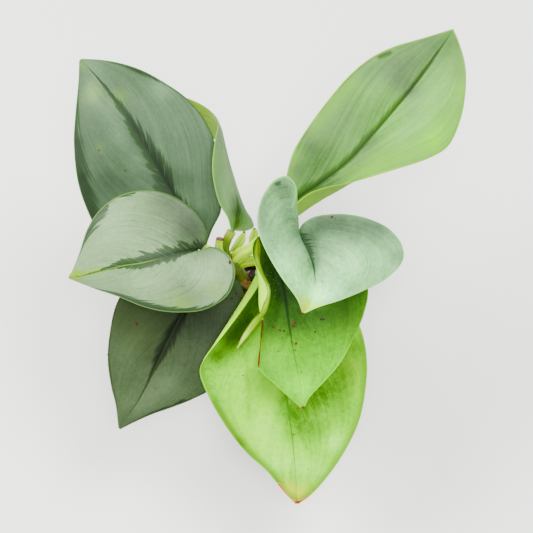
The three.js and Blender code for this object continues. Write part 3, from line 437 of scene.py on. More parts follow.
OLD_STUB = [[-11.8, -5.4, -42, 2.2], [-9.2, -4.6, -39, 2.2], [-6.6, -3.9, -35, 2.4]]
CUT_SHEATH = [[-21.4, 5, -9, 1.9], [-22.9, 9.4, -6.4, 1.95], [-22.4, 13.6, -4.6, 1.8]]
SHEATHS = {}
SHEATHS["sheath_back"] = dict(
    rib=[[-16.5, 7.2, -13], [-14.2, 10, -9.8], [-12, 13.2, -6.5], [-10.5, 16.9, -2.8]],
    left=[[-18.3, 6.5, -12], [-16.2, 10, -8.5], [-13.8, 13.9, -5.5], [-10.9, 17.1, -2.6]],
    right=[[-14.5, 7.8, -13.4], [-12, 9.8, -10.4], [-10.2, 12.4, -6.8], [-10.1, 16.7, -3]],
)
SHEATHS["sheath_torn"] = dict(
    rib=[[-6.6, 11.4, -8.6], [-6.2, 14, -6.4], [-5.8, 16.4, -4.6], [-5.6, 18.4, -3]],
    left=[[-8.6, 11.4, -8], [-8.3, 14.4, -5.8], [-7.3, 16.8, -4.2], [-6.1, 18.6, -3]],
    right=[[-4.4, 12, -8.2], [-4, 14.6, -6], [-4.2, 16.6, -4.4], [-5.2, 18.4, -3]],
)

# Crumbs of mix lying on the leaves, as (across, up, size) for each leaf
CRUMBS = {}
CRUMBS["leaf_crumbs"] = dict(
    left=[(-17.5, 2, 0.8), (-79, -1.8, 0.35), (-91, -4.3, 0.3), (-74.5, 6.2, 0.25), (-41, -9.8, 0.3),
        (-39.5, -9, 0.25), (-57, -11.8, 0.25)],
    front_left=[(-62.5, -27.5, 0.8), (-66.5, -25.3, 0.35), (-76, -42, 0.35), (-72.7, -55, 0.35),
        (-42, -47, 0.3), (-53.5, -58.5, 0.3), (-66.5, -75, 0.3), (-14.4, -12.6, 0.6), (-17, -15.4, 0.5),
        (-12.3, -15.6, 0.7)],
    back_left=[(-67.5, 46, 0.5), (-80, 56, 0.4)],
    front=[(-12, -52.5, 0.35), (13.5, -80.5, 0.35), (20, -97, 0.3)],
    torn=[(13, -27.2, 1.15), (7, -30, 0.7), (3.5, -28.7, 0.5), (23, -31.3, 0.65), (14, -36.5, 0.55),
        (12.5, -35.5, 0.45), (13.5, -40, 0.35), (5.8, -40.5, 0.45), (1, -50, 0.3), (16.5, -50.8, 0.3),
        (12, -58.2, 0.3)],
    right=[(33, 22.5, 0.3), (17.5, 16, 0.3), (2.7, 12.3, 0.3), (27, -7.3, 0.3), (31, -11.5, 0.3),
        (31.6, 23.5, 0.6)],
    back_right=[(35.5, 79, 0.3), (44, 49, 0.3)],
)
CRUMBS["dark_crumbs"] = dict(
    torn=[(9, -31.2, 0.5), (25.7, -25, 0.7), (27.6, -25.4, 0.45)],
    front_left=[(-14.6, -5.8, 0.5)],
)
CRUMBS["white_dust"] = dict(
    torn=[(2.2, -8.8, 0.16), (0.6, -4.2, 0.11), (2.9, -3.1, 0.1), (4.9, -11.6, 0.1), (1.4, -12.9, 0.12),
        (3.4, -14.2, 0.09), (6.3, -8.2, 0.09), (3.6, -6.1, 0.08)],
)


# Meshes
def linked(name, data):
    """A new object in the scene."""
    made = bpy.data.objects.new(name, data)
    bpy.context.scene.collection.objects.link(made)
    return made


def make_object(name, vertices, faces, attributes=None):
    """A smooth mesh object from millimetre vertices, with named vector attributes on its points."""
    mesh = bpy.data.meshes.new(name)
    mesh.from_pydata((np.asarray(vertices) * MM).tolist(), [], faces)
    for key, values in (attributes or {}).items():
        layer = mesh.attributes.new(key, "FLOAT_VECTOR", "POINT")
        layer.data.foreach_set("vector", np.asarray(values, np.float32).ravel())
    mesh.polygons.foreach_set("use_smooth", [True] * len(mesh.polygons))
    mesh.update()
    return linked(name, mesh)


def tube_faces(spans, sides, first=0):
    """Quads between rings of points that are stored one after another."""
    faces = []
    for i in range(spans):
        for k in range(sides):
            here, turn = first + i * sides + k, (k + 1) % sides - k
            faces.append([here, here + turn, here + sides + turn, here + sides])
    return faces


def cap_faces(centre, first, sides, turned=False):
    """Triangles from a centre point to a ring, turned over where they close the start of a tube."""
    step = -1 if turned else 1
    return [[centre, *[first + k, first + (k + 1) % sides][::step]] for k in range(sides)]


def blade_grid(leaf, rows, per_half):
    """The middle surface of a blade as a grid of plate points, and where each is on the leaf."""
    rib_height = arch(leaf["near"])

    def margin_height(side):
        lift, size, count = leaf["lift"][side], *leaf["waves"][2 * side:2 * side + 2]

        def height(t):
            bow = math.sin(math.pi * t)
            return rib_height(t) + lift * max(bow, 0) ** 0.7 + size * bow * math.sin(count * math.pi * t)

        return height

    share = np.linspace(0, 1, rows + 1)
    t = 0.5 * share + 0.5 * np.sin(math.pi / 2 * share) ** 2
    rib = evenly(laid(leaf["rib"], rib_height), t ** leaf["fan"])
    steps = np.arange(1, per_half + 1) / per_half

    def half(side, key, inner):
        edge = evenly(laid(leaf[key], margin_height(side)), t)
        curves = [evenly(laid(curve, rib_height), t) for curve in inner]
        if not curves:
            middle = (rib + edge) / 2
            middle[:, 2] += leaf["swell"][side] * np.linalg.norm(edge - rib, axis=1)
            curves = [middle]
        stops = np.stack([rib, *curves, edge], axis=1)
        return np.stack([through(row, steps) for row in stops])

    halves = half(0, "left", [])[:, ::-1], half(1, "right", leaf["right_inner"])
    grid = np.concatenate([halves[0], rib[:, None], halves[1]], axis=1)
    across = np.concatenate([-steps[::-1], [0], steps])
    return grid, np.broadcast_to(across, grid.shape[:2]), np.broadcast_to(t[:, None], grid.shape[:2])


def grid_normals(points):
    normal = np.cross(np.gradient(points, axis=1), np.gradient(points, axis=0))
    return normal / np.maximum(np.linalg.norm(normal, axis=2, keepdims=True), 1e-9)


def closed_sheet(name, top, bottom, attributes):
    """A closed mesh of an upper and a lower grid; attributes are pairs of grids for the two faces."""
    rows, columns = top.shape[:2]
    count = rows * columns
    corner = np.arange(count).reshape(rows, columns)
    quads = [corner[:-1, :-1], corner[:-1, 1:], corner[1:, 1:], corner[1:, :-1]]
    quads = np.stack(quads, axis=-1).reshape(-1, 4)
    faces = quads.tolist() + (quads[:, ::-1] + count).tolist()
    loop = np.concatenate([corner[0, :-1], corner[:-1, -1], corner[-1, :0:-1], corner[:0:-1, 0]])
    pairs = zip(loop.tolist(), np.roll(loop, -1).tolist())
    faces += [[a, a + count, b + count, b] for a, b in pairs]
    vertices = np.concatenate([top.reshape(-1, 3), bottom.reshape(-1, 3)])
    joined = {
        key: np.concatenate([np.reshape(v, (count, 3)) for v in pair]) for key, pair in attributes.items()
    }
    return make_object(name, vertices, faces, joined)


def nearest_on(plate, line, row_share):
    """Distance from each plate point to a grid line, and the leaf's share of length where it is nearest."""
    step = np.diff(line, axis=0)
    away = plate[..., None, :] - line[:-1]
    share = np.clip((away * step).sum(-1) / np.maximum((step**2).sum(-1), 1e-9), 0, 1)
    gap = np.linalg.norm(away - share[..., None] * step, axis=-1)
    best = gap.argmin(-1)[..., None]
    along = (best + np.take_along_axis(share, best, -1)) / len(step)
    row = along[..., 0] * (len(row_share) - 1)
    return np.take_along_axis(gap, best, -1)[..., 0], np.interp(row, np.arange(len(row_share)), row_share)


def marking(stops, column, distance, t):
    """Depth inside a band of stated width: 1 at its line, 0 at its edge, less outside."""
    stops = np.array(stops, float)
    width = np.interp(t, stops[:, 0], stops[:, column])
    return np.where(width > 0.05, 1 - distance / np.maximum(width, 0.02), -2)


def gap_to(plate, x0, y0, x1, y1):
    """Distance on the plate from each point to a stroke between two points."""
    start, line = np.array([x0, y0]), np.array([x1 - x0, y1 - y0])
    share = np.clip(((plate[..., :2] - start) @ line) / max(line @ line, 1e-6), 0, 1)
    return np.linalg.norm(plate[..., :2] - start - share[..., None] * line, axis=2)


def strokes_on(plate, strokes):
    """Soft strokes added up over the blade: (across, up, radius, amount), or with two ends in front."""
    total = np.zeros(plate.shape[:2])
    for *ends, radius, amount in strokes:
        gap = gap_to(plate, *(ends if len(ends) == 4 else ends * 2)) / radius
        total += amount * np.exp(-(gap**2))
    return total


def hump(distance, centre, width):
    return np.exp(-(((distance - centre) / width) ** 2))


surfaces = {}


def make_blade(name, shape, look, rows=FINE_ROWS, per_half=FINE_HALF):
    """A thin blade with a sunk rib line, a ridge under it and faint side veins that sweep forward."""
    leaf = {**DEFAULT_SHAPE, **shape}
    look = {**DEFAULT_LOOK, **look}
    plate, across, t = blade_grid(leaf, rows, per_half)
    points = place(plate)
    normals = grid_normals(points)
    rib_span, on_rib = nearest_on(plate, plate[:, per_half], t[:, 0])
    left_span, on_left = nearest_on(plate, plate[:, 0], t[:, 0])
    right_span, on_right = nearest_on(plate, plate[:, -1], t[:, 0])
    edge_span = np.minimum(left_span, right_span)

    far = np.abs(across)
    run = t - 0.5 * far - 0.35 * far**3
    vein = np.sin(2 * math.pi * (VEINS * run + 0.2 * np.sin(9 * run)))
    plump = np.clip(rib_span / 4, 0, 1) * np.clip(edge_span / 5, 0, 1)
    groove = RIB_GROOVE * hump(rib_span, 0, 0.8) * (1 - t) ** 0.5
    shoulder = RIB_SHOULDER * hump(rib_span, 1.9, 0.9) * (1 - t)
    thin = EDGE_SHARE + (1 - EDGE_SHARE) * np.clip(edge_span / 1.2, 0, 1)
    half_depth = BLADE_THICKNESS / 2 * thin
    up = half_depth - groove + shoulder + VEIN_ABOVE * vein * plump
    ridge = leaf["ribbed"] * RIB_RIDGE * hump(rib_span, 0, 1) * (1 - t) ** 0.8
    down = half_depth + ridge + VEIN_BELOW * vein * plump
    top = points + normals * up[..., None]
    bottom = points - normals * down[..., None]
    surfaces[name] = (plate[..., :2], top, normals)

    beside_rib = [marking(look["band"], column, rib_span, on_rib) for column in (1, 2)]
    dark = np.where(across < 0, *beside_rib)
    dark = np.maximum(dark, marking(look["rim"], 1, left_span, on_left))
    dark = np.maximum(dark, marking(look["rim"], 2, right_span, on_right))
    for *ends, radius in look["patches"]:
        dark = np.maximum(dark, 1 - gap_to(plate, *ends) / radius)
    # gloom is painted shade, with painted light below 0; tones mix the blade's own colour with painted light
    # and shade
    tone_and_shading, yellow, painted_shading, dry = (strokes_on(plate, look[key]) for key in ("tones_and_shading", "yellows", "painted_shading", "dry"))
    on_face = [np.stack([across, t, upper + 0 * t], -1) for upper in (1, 0)]
    span = np.stack([rib_span, edge_span, far], -1)
    marks_and_shading = np.stack([np.clip(dark, -2, 1), tone_and_shading, yellow], -1)
    dry_and_shading = np.stack([dry, run, painted_shading], -1)
    return closed_sheet(name, top, bottom, {
        "leaf_shape": on_face, "leaf_span": [span] * 2, "leaf_marks_and_shading": [marks_and_shading] * 2, "leaf_dry_and_shading": [dry_and_shading] * 2,
    })


def make_stalk(name, route, wings, sides=28, steps=48):
    """A stalk along a route, with a groove and standing sheath wings on its upper side."""
    route = np.array(route, float)
    share = np.linspace(0, 1, steps + 1)
    centre = evenly(place(route[:, :3]), share)
    radius = np.interp(share * (len(route) - 1), np.arange(len(route)), route[:, 3])
    tangent = np.gradient(centre, axis=0)
    tangent /= np.linalg.norm(tangent, axis=1, keepdims=True)
    outward = (centre[-1] - centre[0]) * np.array([1, 1, 0])
    outward /= max(np.linalg.norm(outward), 1e-6)
    inner = np.array([0, 0, 1]) - 0.6 * outward
    upward = inner - (tangent @ inner)[:, None] * tangent
    upward /= np.linalg.norm(upward, axis=1, keepdims=True)
    sideways = np.cross(tangent, upward)

    angle = 2 * math.pi * np.arange(sides) / sides
    from_top = np.abs(np.arctan2(np.sin(angle), np.cos(angle)))
    wing = wings * np.clip(1 - share / 0.75, 0, None) ** 0.5
    on_wing = hump(from_top, 0.6, 0.3)
    depth = 0.35 * np.minimum(1, 0.4 + wing)
    size = radius[:, None] * (1 + wing[:, None] * on_wing - depth[:, None] * hump(from_top, 0, 0.35))
    turned = (
        np.cos(angle)[None, :, None] * upward[:, None] + np.sin(angle)[None, :, None] * sideways[:, None]
    )
    ring = centre[:, None] + size[..., None] * turned
    count = (steps + 1) * sides
    vertices = np.concatenate([ring.reshape(-1, 3), centre[:1], centre[-1:]])
    faces = tube_faces(steps, sides) + cap_faces(count, 0, sides, True)
    faces += cap_faces(count + 1, count - sides, sides)
    info = np.zeros((len(vertices), 3))
    info[:count, 0] = np.repeat(share, sides)
    info[:count, 1] = np.tile(from_top, steps + 1)
    info[:count, 2] = (wing[:, None] * on_wing).ravel()
    info[count + 1, 0] = 1
    return make_object(name, vertices, faces, {"stalk_shape": info})


# Materials
def screen(colour):
    """An 8-bit screen colour as a linear one."""
    shares = [c / 255 for c in colour]
    return (*[s / 12.92 if s <= 0.04045 else ((s + 0.055) / 1.055) ** 2.4 for s in shares], 1.0)


class Paint:
    """A small helper around one node material."""

    def __init__(self, name, roughness, specular):
        self.material = bpy.data.materials.new(name)
        self.material.use_nodes = True
        self.tree = self.material.node_tree
        self.shader = self.tree.nodes["Principled BSDF"]
        self.shader.inputs["Roughness"].default_value = roughness
        self.shader.inputs["Specular IOR Level"].default_value = specular

    def node(self, kind, inputs, **settings):
        """A node with some settings, and with its inputs fed by name or number."""
        node = self.tree.nodes.new(kind)
        for key, value in settings.items():
            setattr(node, key, value)
        for key, value in inputs.items():
            self.feed(node.inputs[key], value)
        return node

    def feed(self, socket, value):
        if isinstance(value, bpy.types.NodeSocket):
            self.tree.links.new(value, socket)
        else:
            socket.default_value = value

    def value(self, operation, first, second=0.0):
        return self.node("ShaderNodeMath", {0: first, 1: second}, operation=operation).outputs[0]

    def plus(self, first, second):
        return self.value("ADD", first, second)

    def times(self, first, second):
        return self.value("MULTIPLY", first, second)

    def without(self, share):
        """What a share leaves of one."""
        return self.value("SUBTRACT", 1.0, share)

    def centred(self, pattern, amount):
        """A pattern of 0 to 1 moved to lie around 0, and scaled."""
        return self.times(self.value("SUBTRACT", pattern, 0.5), amount)

    def ramp(self, value, low, high, kind="LINEAR"):
        inputs = {"Value": value, "From Min": low, "From Max": high}
        return self.node("ShaderNodeMapRange", inputs, interpolation_type=kind).outputs["Result"]

    def smooth(self, value, low, high):
        return self.ramp(value, low, high, "SMOOTHSTEP")

    def mixed(self, factor, first, second):
        """Mixes two colours; colour sockets of the mix node are its seventh and eighth inputs."""
        return self.node("ShaderNodeMix", {0: factor, 6: first, 7: second}, data_type="RGBA").outputs[2]

    def parts(self, name):
        vector = self.node("ShaderNodeAttribute", {}, attribute_name=name).outputs["Vector"]
        return self.node("ShaderNodeSeparateXYZ", {0: vector}).outputs

    def joined(self, x, y, z):
        return self.node("ShaderNodeCombineXYZ", {0: x, 1: y, 2: z}).outputs[0]

    def noise(self, scale, detail, vector=None, roughness=0.55):
        if vector is None:
            vector = self.node("ShaderNodeTexCoord", {}).outputs["Object"]
        inputs = {"Vector": vector, "Scale": scale, "Detail": detail, "Roughness": roughness}
        return self.node("ShaderNodeTexNoise", inputs).outputs["Fac"]

    def deepened(self, colour, amount, richer):
        """A colour made darker where the amount is above 0 and lighter below, and richer as it darkens."""
        inputs = {
            "Color": colour, "Saturation": self.plus(self.times(amount, richer), 1.0),
            "Value": self.value("EXPONENT", self.times(amount, -1.0)),
        }
        return self.node("ShaderNodeHueSaturation", inputs).outputs["Color"]

    def bump(self, height, distance, strength):
        inputs = {"Strength": strength, "Distance": distance, "Height": height}
        self.feed(self.shader.inputs["Normal"], self.node("ShaderNodeBump", inputs).outputs["Normal"])

    def colour(self, value):
        self.feed(self.shader.inputs["Base Color"], value)


def leaf_material(name, look, seed):
    """Silvered blade: dark feathered markings, light edge line, dry spots, painted light and shade, and a
    pale underside.
    """
    look = {**DEFAULT_LOOK, **look, **dict(zip(COLOURS, look["colours"]))}
    paint = Paint(name, 0.5, look["gloss"])
    across, along, upper = paint.parts("leaf_shape")
    rib_mm, edge_mm, far = paint.parts("leaf_span")
    dark, tone_and_shading, yellow = paint.parts("leaf_marks_and_shading")
    dry, run, painted_shading = paint.parts("leaf_dry_and_shading")
    half = paint.value("SIGN", across)
    side = paint.plus(paint.times(half, 3.7), seed * 5.3)

    def streaks(crosswise, lengthwise, detail=3):
        vector = paint.joined(paint.times(run, crosswise), paint.times(far, lengthwise), side)
        return paint.noise(1.0, detail, vector)

    def ink(key):
        return screen(look[key])

    def over(amount, below, key):
        return paint.mixed(amount, below, ink(key))

    broad = streaks(16, 1.6)
    fine = streaks(72, 3.5, 4)
    cloud = paint.noise(38, 3)
    mottle = paint.noise(420, 4, roughness=0.7)
    grain = paint.noise(1500, 2)
    # level takes in the tones: the blade's own colour changes together with painted light and painted shade
    level = tone_and_shading
    for pattern, amount in zip((broad, fine, cloud, mottle, grain), look["texture"]):
        level = paint.plus(level, paint.centred(pattern, amount))
    body = paint.mixed(paint.ramp(level, -1, 0), ink("deep"), ink("body"))
    body = over(paint.ramp(level, 0, 1), body, "pale")
    yellowed = paint.plus(yellow, paint.centred(broad, 0.3))
    body = over(paint.ramp(yellowed, 0, 1), body, "yellow")

    feathered = paint.plus(dark, paint.centred(streaks(look["teeth"], 2.4), look["jagged"]))
    mask = paint.times(paint.smooth(feathered, -look["soft"], look["soft"]), look["contrast"])
    # shift darkens the band on one half of the blade: the marking plus painted shade in the fold along the
    # rib
    inside = paint.plus(paint.plus(dark, paint.times(half, look["shift"])), paint.centred(fine, 1.0))
    body = paint.mixed(mask, body, paint.mixed(paint.ramp(inside, 0.1, 0.9), ink("shade"), ink("dark")))
    for crosswise, lengthwise, amount, key in ((80, 5, "brush", "pale"), (50, 2.6, "crease", "shade")):
        hairline = paint.smooth(streaks(crosswise, lengthwise), 0.58, 0.7)
        body = over(paint.times(hairline, look[amount]), body, key)

    rib_line = paint.without(paint.smooth(rib_mm, 0.2, look["rib_width"]))
    rib_line = paint.times(rib_line, paint.smooth(along, look["rib_end"], look["rib_end"] - 0.15))
    rib_line = paint.times(rib_line, paint.smooth(along, look["rib_start"], look["rib_start"] + 0.2))
    body = over(paint.times(rib_line, look["rib_amount"]), body, "rib")
    if look["margin"]:
        rim = paint.smooth(edge_mm, look["margin"], 0.2)
        body = over(paint.times(rim, look["margin_amount"]), body, "margin_colour")
    edge_line = paint.without(paint.smooth(edge_mm, 0.3, 0.85))
    body = over(paint.times(edge_line, 0.8), body, "edge")
    # Painted shade: gloom darkens the upper face under leaves above and towards the crown, and lightens it
    # as painted light below 0
    body = paint.deepened(body, painted_shading, look["richer"])

    under = paint.mixed(paint.ramp(fine, 0.3, 0.7), ink("under_deep"), ink("under"))
    under = over(paint.times(edge_line, 0.5), under, "edge")
    colour = paint.mixed(upper, under, body)
    crisp = paint.smooth(paint.plus(dry, paint.centred(cloud, 0.4)), 0.3, 0.55)
    crisp = paint.times(crisp, paint.ramp(dry, 0.02, 0.2))
    parched = paint.mixed(paint.ramp(dry, 0.4, 1.0), ink("dry_light"), ink("dry_dark"))
    paint.colour(paint.mixed(crisp, colour, parched))
    paint.bump(paint.plus(paint.times(fine, 0.7), paint.times(grain, 0.3)), 0.00015, 0.4)
    paint.shader.inputs["Subsurface Weight"].default_value = 0.1
    paint.shader.inputs["Subsurface Radius"].default_value = (0.5, 1.0, 0.25)
    paint.shader.inputs["Subsurface Scale"].default_value = 0.0012
    return paint.material


def stalk_material(name, light, dark, brown, brown_amount, dark_share=0.3, end=None):
    """Stalk: darker up to a share of its length, with painted shade in its groove, brown on its wings and
    cut end.
    """
    paint = Paint(name, 0.45, 0.25)
    along, from_top, wing = paint.parts("stalk_shape")
    lines = paint.noise(1.0, 3, paint.joined(paint.times(along, 2.5), paint.times(from_top, 9), 0.0))
    dimmed = screen([c * 0.88 for c in light])
    tone_and_shading = paint.mixed(paint.smooth(lines, 0.3, 0.7), screen(light), dimmed)
    tone_and_shading = paint.mixed(paint.smooth(along, dark_share, dark_share - 0.3), tone_and_shading, screen(dark))
    # Painted shade: the groove is darkened towards the dark colour
    groove = paint.without(paint.smooth(from_top, 0.15, 0.5))
    tone_and_shading = paint.mixed(paint.times(groove, 0.35), tone_and_shading, screen(dark))
    blot = paint.noise(420, 3)
    dry = paint.times(paint.smooth(wing, 0.3, 0.6), paint.smooth(blot, 0.5, 0.62))
    tone_and_shading = paint.mixed(paint.times(dry, brown_amount), tone_and_shading, screen(brown))
    if end:
        worn = paint.plus(along, paint.centred(blot, 0.15))
        tone_and_shading = paint.mixed(paint.smooth(worn, 0.9, 0.96), tone_and_shading, screen(end))
    paint.colour(tone_and_shading)
    paint.bump(lines, 0.0002, 0.3)
    return paint.material


def rough_material(name, light, dark, scale, roughness=0.9, bump=0.0006):
    paint = Paint(name, roughness, 0.25)
    coarse = paint.noise(scale, 5, roughness=0.65)
    paint.colour(paint.mixed(paint.smooth(coarse, 0.35, 0.65), screen(dark), screen(light)))
    paint.bump(coarse, bump, 0.6)
    return paint.material


def give(piece, material, slot, *nodes):
    """Gives a piece its material, puts it on the root body and hides the solids it stands for; slot is not
    used.
    """
    piece.data.materials.clear()
    piece.data.materials.append(material)
    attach(piece, "root")
    if nodes:
        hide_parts(*nodes)


# Leaves
SLOTS = {
    "back_left": "leaf_dark", "back_folded": "leaf_silver", "left": "leaf_silver", "front_left": "leaf_dark",
    "back_right": "leaf_light", "front": "leaf_light", "right": "leaf_silver", "torn": "leaf_light",
}
for number, (key, leaf) in enumerate(LEAVES.items()):
    blade = make_blade(f"leaf_{key}", leaf, LOOKS[key])
    give(blade, leaf_material(f"leaf_{key}", LOOKS[key], number), SLOTS[key], f"blade_{key}")
strip = make_blade("torn_strip", TORN_STRIP, STRIP_LOOK, 120, 8)
give(strip, leaf_material("torn_strip", STRIP_LOOK, 30), SLOTS["torn"])

# Stalks, stem and sheaths
# lit_paint is the stalk paint in light; the stalks to 'right' and 'back_folded' get darker copies as painted
# shade, the latter partly olive in colour too
lit_paint = stalk_material("petiole", (208, 246, 0), (124, 158, 0), (120, 80, 30), 0.3)
shaded_stalk_paint = stalk_material("petiole_shaded", (196, 228, 0), (118, 152, 0), (110, 76, 30), 0.3)
base_paint = stalk_material("petiole_base", (176, 206, 0), (124, 92, 44), (90, 60, 26), 0.3, 0.6)
flared_shaded_paint = stalk_material("petiole_flared_shaded", (140, 164, 6), (74, 98, 0), (110, 76, 30), 0.3, 0.95)
PETIOLE_PAINTS = {"right": shaded_stalk_paint, "front": base_paint, "back_folded": flared_shaded_paint}
for key, route in PETIOLES.items():
    stalk = make_stalk(f"stalk_{key}", route, WING_SHARE)
    give(stalk, PETIOLE_PAINTS.get(key, lit_paint), "petiole", f"petiole_{key}")
stem_paint = stalk_material("stem", (92, 108, 24), (58, 66, 14), (92, 62, 30), 0.0)
give(make_stalk("main_stem", STEM, 0, 32, 120), stem_paint, "stem", "stem")
stub_paint = stalk_material("cut_stub", (156, 124, 62), (70, 60, 20), (60, 40, 20), 0.0, 0.6, (32, 27, 25))
give(make_stalk("stub", OLD_STUB, 0, 20, 16), stub_paint, "dry_sheath", "old_stub")
cut_paint = stalk_material("cut_sheath", (164, 208, 8), (104, 136, 0), (60, 40, 20), 0.0, 0.3, (96, 60, 32))
give(make_stalk("cut_sheath", CUT_SHEATH, WING_SHARE, 28, 24), cut_paint, "dry_sheath", "sheath_left")
sheath_paint = leaf_material("dry_sheath", SHEATH_LOOK, 20)
for key, shape in SHEATHS.items():
    sheath = make_blade(f"dry_{key}", dict(shape, ribbed=0), SHEATH_LOOK, 40, 8)
    give(sheath, sheath_paint, "dry_sheath", key)


# Pot and potting mix
def lathe(name, profile, sides=128):
    """A closed turned shape; the profile starts and ends on the axis."""
    profile = np.array(profile, float)
    ring = profile[1:-1]
    angle = 2 * math.pi * np.arange(sides) / sides
    reach, height = ring[:, :1], ring[:, 1:]
    turned = np.stack([reach * np.cos(angle), reach * np.sin(angle), height + 0 * angle], -1)
    count = len(ring) * sides
    vertices = np.concatenate([turned.reshape(-1, 3), [[0, 0, profile[0, 1]], [0, 0, profile[-1, 1]]]])
    faces = tube_faces(len(ring) - 1, sides) + cap_faces(count, 0, sides, True)
    return make_object(name, vertices, faces + cap_faces(count + 1, count - sides, sides))


def cut_out(piece, drill):
    """Cuts the drill's shape out of the piece, and takes the drill away."""
    cut = piece.modifiers.new("cut", "BOOLEAN")
    cut.operation = "DIFFERENCE"
    cut.solver = "EXACT"
    cut.object = drill
    bpy.context.view_layer.update()
    evaluated = piece.evaluated_get(bpy.context.evaluated_depsgraph_get())
    mesh = bpy.data.meshes.new_from_object(evaluated)
    piece.modifiers.clear()
    piece.data = mesh
    bpy.data.objects.remove(drill)


def make_pot():
    """The pot's section from the middle of its base, up the outside, down the inside; then its holes."""
    band_outer = BAND_INNER + POT_WALL
    wall_outer = WALL_TOP + POT_WALL
    floor_edge = POT_BASE_RADIUS - POT_WALL
    piece = lathe("nursery_pot", [
        [0, 0], [POT_BASE_RADIUS - 1.2, 0], [POT_BASE_RADIUS - 0.5, 0.15], [POT_BASE_RADIUS, 0.8],
        [wall_outer - 0.3, BAND_BOTTOM - 1.5], [wall_outer, BAND_BOTTOM],
        [band_outer, BAND_BOTTOM + 0.8], [band_outer + 0.25, POT_HEIGHT - 2.8],
        [POT_RIM_RADIUS - 0.2, POT_HEIGHT - 2.3], [POT_RIM_RADIUS, POT_HEIGHT - 1.6],
        [POT_RIM_RADIUS - 0.1, POT_HEIGHT - 0.6], [POT_RIM_RADIUS - 0.8, POT_HEIGHT],
        [BAND_INNER + 0.7, POT_HEIGHT], [BAND_INNER + 0.1, POT_HEIGHT - 0.5], [BAND_INNER, POT_HEIGHT - 1.4],
        [BAND_INNER, BAND_BOTTOM + 1.6], [WALL_TOP, BAND_BOTTOM + 0.4],
        [floor_edge + 0.2, POT_FLOOR + 0.6], [floor_edge - 0.6, POT_FLOOR], [0, POT_FLOOR],
    ])
    for k in range(DRAIN_HOLES):
        angle = 2 * math.pi * (k + 0.5) / DRAIN_HOLES
        drill = lathe("drill", [[0, -4], [DRAIN_RADIUS, -4], [DRAIN_RADIUS, 4], [0, 4]], 32)
        drill.location = Vector((DRAIN_RING * math.cos(angle), DRAIN_RING * math.sin(angle), 0)) * MM
        drill.rotation_euler.z = 0.1
        cut_out(piece, drill)
    return piece


def soil_height(x, y):
    """Uneven top of the mix, in millimetres."""
    height = SOIL_LEVEL - 0.2
    for size, scale, layer in ((0.9, 0.11, 3.1), (0.7, 0.55, 1.7), (0.35, 1.5, 9.2)):
        height += size * noise.noise(Vector((x * scale, y * scale, layer)))
    return height


def edge_fall(reach, start):
    """How far the mix falls towards the wall of the pot."""
    return 2.2 * max(0, (reach - start) / 6) ** 2


def make_soil(rings=54, sides=150):
    angles = [2 * math.pi * k / sides for k in range(sides)]
    vertices = [[0, 0, soil_height(0, 0)]]
    for radius in np.linspace(0, SOIL_RADIUS - 0.2, rings + 1)[1:]:
        for angle in angles:
            x, y = radius * math.cos(angle), radius * math.sin(angle)
            vertices.append([x, y, soil_height(x, y) - edge_fall(radius, SOIL_RADIUS - 6)])
    skirt = [(SOIL_RADIUS, BAND_BOTTOM - 3), (POT_BASE_RADIUS - POT_WALL - 0.3, POT_FLOOR + 1.5)]
    for radius, z in skirt:
        vertices += [[radius * math.cos(angle), radius * math.sin(angle), z] for angle in angles]
    vertices.append([0, 0, POT_FLOOR + 0.3])
    faces = cap_faces(0, 1, sides)
    faces += [[a, d, c, b] for a, b, c, d in tube_faces(rings + 1, sides, 1)]
    faces += cap_faces(len(vertices) - 1, 1 + (rings + 1) * sides, sides, True)
    return make_object("mix_body", vertices, faces)


def lump_mesh(name, spots):
    """Many small irregular lumps in one mesh; a spot is (centre, size, flatness)."""
    bm = bmesh.new()
    for centre, size, flat in spots:
        made = bmesh.ops.create_icosphere(bm, subdivisions=2, radius=1.0)
        stretch = rng.uniform(0.6, 1.3, 3) * size
        stretch[2] *= flat
        turn = rng.uniform(0, math.pi)
        shift = Vector(rng.uniform(-40, 40, 3))
        for vertex in made["verts"]:
            rough = 1 + 0.5 * noise.noise(vertex.co * 1.6 + shift)
            x, y, z = vertex.co * rough
            x, y = x * stretch[0], y * stretch[1]
            vertex.co = Vector((
                centre[0] + x * math.cos(turn) - y * math.sin(turn),
                centre[1] + x * math.sin(turn) + y * math.cos(turn),
                centre[2] + z * stretch[2],
            ))
    mesh = bpy.data.meshes.new(name)
    bm.to_mesh(mesh)
    bm.free()
    mesh.transform([[MM, 0, 0, 0], [0, MM, 0, 0], [0, 0, MM, 0], [0, 0, 0, 1]])
    mesh.polygons.foreach_set("use_smooth", [True] * len(mesh.polygons))
    return linked(name, mesh)


def scattered(count, low, high, flat, radius=34):
    """Random spots on the top of the mix."""
    spots = []
    for _ in range(count):
        reach = radius * math.sqrt(rng.uniform())
        angle = rng.uniform(0, 2 * math.pi)
        x, y = reach * math.cos(angle), reach * math.sin(angle)
        size = rng.uniform(low, high)
        height = soil_height(x, y) - edge_fall(reach, 29) + 0.25 * size * flat
        spots.append(((x, y, height), size, flat))
    return spots


def on_leaf(key, across, up, size):
    """The spot on a blade's upper face that is seen at a plate point."""
    plate, top, normals = surfaces[f"leaf_{key}"]
    gap = np.hypot(plate[..., 0] - across, plate[..., 1] - up)
    row, column = np.unravel_index(np.argmin(gap), gap.shape)
    return (top[row, column] + 0.25 * size * normals[row, column], size, 0.8)


